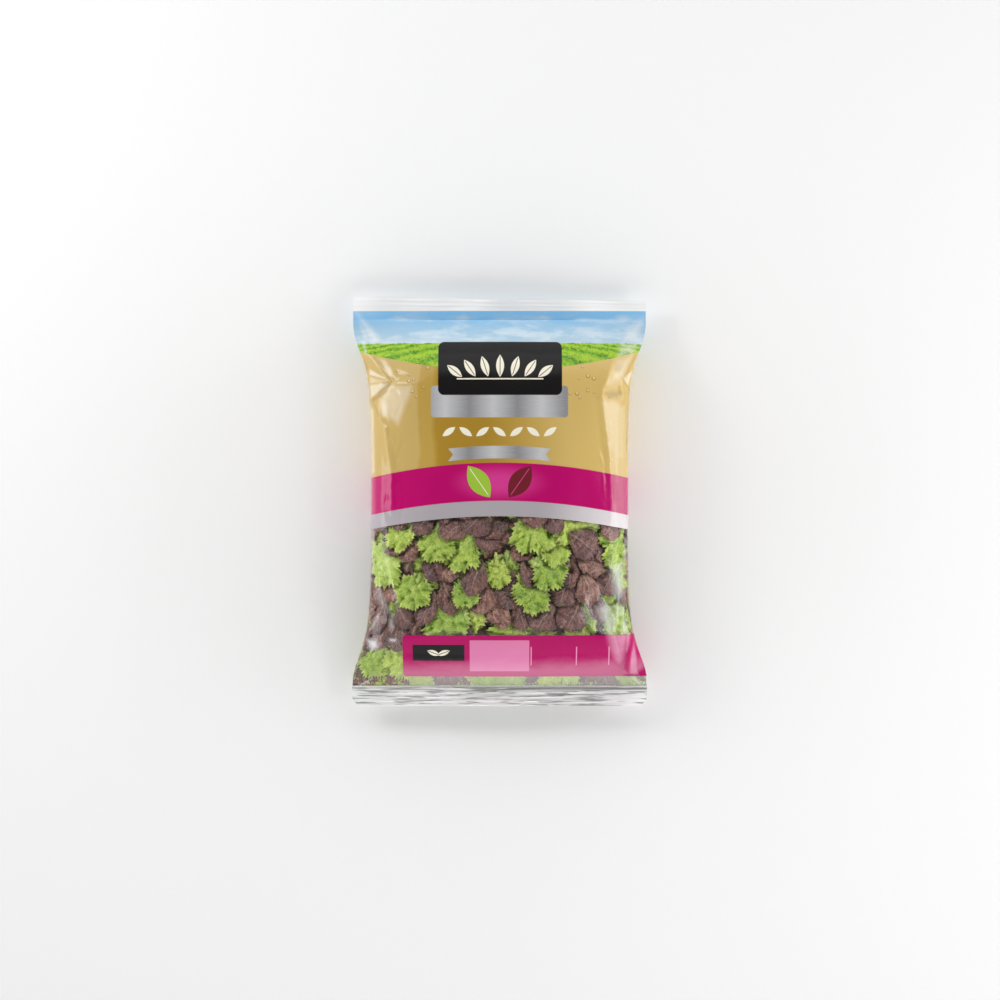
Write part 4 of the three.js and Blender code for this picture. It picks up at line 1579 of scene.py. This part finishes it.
def shadeCoreMaterial():
    look = shadeCoreLook
    material, tree = newTree("paintedShadeCore")
    place = objectMillimetres(tree)[0]
    # painted shade in patches of dark leaf colours and darker blotches
    patches = addNode(tree, "TexVoronoi", {"Vector": place, "Scale": look["patchScale"], "Randomness": 1.0})
    colour = ramp(tree, addNode(tree, "SeparateColor", {0: patches["Color"]})[0], look["patches"])
    dark = noise(tree, place, look["darkScale"], 4.0)
    colour = paint(tree, colour, look["dark"], fade(tree, dark, *look["darkFade"]))
    normal = bumpNormal(tree, dark, look["bump"], look["bumpDepth"])
    shader = principled(tree, colour, look["roughness"], {"Normal": normal})
    addNode(tree, "OutputMaterial", {"Surface": shader})
    return material


def dress(piece, material):
    piece.data.materials.clear()
    piece.data.materials.append(material)


greenMaterial = leafMaterial("greenLeaf", greenLook)
redMaterial = leafMaterial("redLeaf", redLook)
finishes = {  # each piece's material, and the name of the record's slot for its finish
    "printedFilm": (printMaterial(), "printed_film"),
    "clearFilm": (clearMaterial(), "clear_film"),
    "labelPrint": (labelMaterial(), "label_print"),
    "frillyGreenLeaves": (greenMaterial, "green_leaf"),
    "toothedGreenLeaves": (greenMaterial, "green_leaf"),
    "roundRedLeaves": (redMaterial, "red_leaf"),
    "longRedLeaves": (redMaterial, "red_leaf"),
    "paintedShadeCore": (shadeCoreMaterial(), "red_leaf"),
}
for name, (material, finish) in finishes.items():
    piece = bpy.data.objects[name]
    dress(piece, material)
    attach(piece, "root")
    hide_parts("bag")
print("pieces finished", len(finishes))

# Studio: a pale floor, a room that is bright low down and dark overhead, and three small soft lamps
studio = {
    "floor": rgb(0.99, 0.99, 0.99),
    "floorSize": 12,
    "floorDrop": 0.0003,  # how far the floor lies under the bag, so that the two don't share a plane
    "floorRoughness": 0.7,
    "room": {"sides": 4.1, "ends": 1.6, "above": 0.07},  # brightness of its parts
    "endsFrom": (0.35, 0.7),  # how far a direction turns towards the bag's ends before it counts as one
    "sidesTop": (0.36, 0.22),  # height at which the light from the sides ends, and that from the ends
    "endsTop": (0.85, 0.7),
    "lamps": [
        # place, size across and along, watts
        ((-1.05, 0.61, 0.72), (0.4, 0.4), 4.2),
        ((1.24, 0.2, 0.58), (0.25, 0.5), 2.0),
        ((0.94, -0.44, 0.95), (0.35, 0.35), 2.4),
    ],
    "lens": 150.0,
    "coverage": 0.8418,  # metres across the picture at the height of the seals
    "pixels": 1000,
    "centreShift": (0.5, 1.0),  # pixels from the picture's middle to the bag's
    "sealPlane": 0.023,
}


def makeFloor():
    deselectAll()
    bpy.ops.mesh.primitive_plane_add(size=studio["floorSize"], location=(0, 0, -studio["floorDrop"]))
    floor = bpy.context.object
    floor.name = "floor"
    material, tree = newTree("floor")
    shader = principled(tree, studio["floor"], studio["floorRoughness"])
    addNode(tree, "OutputMaterial", {"Surface": shader})
    dress(floor, material)


def makeRoom():
    world = bpy.data.worlds.new("room")
    world.use_nodes = True
    tree = world.node_tree
    tree.nodes.clear()
    _, along, up = separate(tree, addNode(tree, "TexCoord", {})["Generated"])
    ends = fade(tree, calc(tree, "ABSOLUTE", along), *studio["endsFrom"])
    sides = times(tree, minus(tree, 1.0, ends), fade(tree, up, *studio["sidesTop"]))
    ends = times(tree, ends, fade(tree, up, *studio["endsTop"]))
    room = studio["room"]
    level = plus(tree, times(tree, sides, room["sides"]), times(tree, ends, room["ends"]), room["above"])
    light = addNode(tree, "Background", {"Color": rgb(1, 1, 1), "Strength": level})[0]
    addNode(tree, "OutputWorld", {"Surface": light})
    bpy.context.scene.world = world


def makeLamps():
    for place, size, watts in studio["lamps"]:
        bpy.ops.object.light_add(type="AREA", location=place)
        lamp = bpy.context.object
        lamp.data.shape = "RECTANGLE"
        lamp.data.size, lamp.data.size_y = size
        lamp.data.energy = watts
        lamp.rotation_euler = Vector(place).to_track_quat("Z", "Y").to_euler()


def makeCamera():
    bpy.ops.object.camera_add(location=(0, 0, 1), rotation=(0, 0, 0))
    camera = bpy.context.object
    camera.data.lens = studio["lens"]
    distance = studio["coverage"] * studio["lens"] / camera.data.sensor_width
    metresPerPixel = studio["coverage"] / studio["pixels"]
    shiftX, shiftY = studio["centreShift"]
    camera.location = (shiftX * metresPerPixel, shiftY * metresPerPixel, studio["sealPlane"] + distance)
    bpy.context.scene.camera = camera


makeFloor()
makeRoom()
makeLamps()
makeCamera()
bpy.context.scene.view_settings.view_transform = "Standard"
print("studio made")
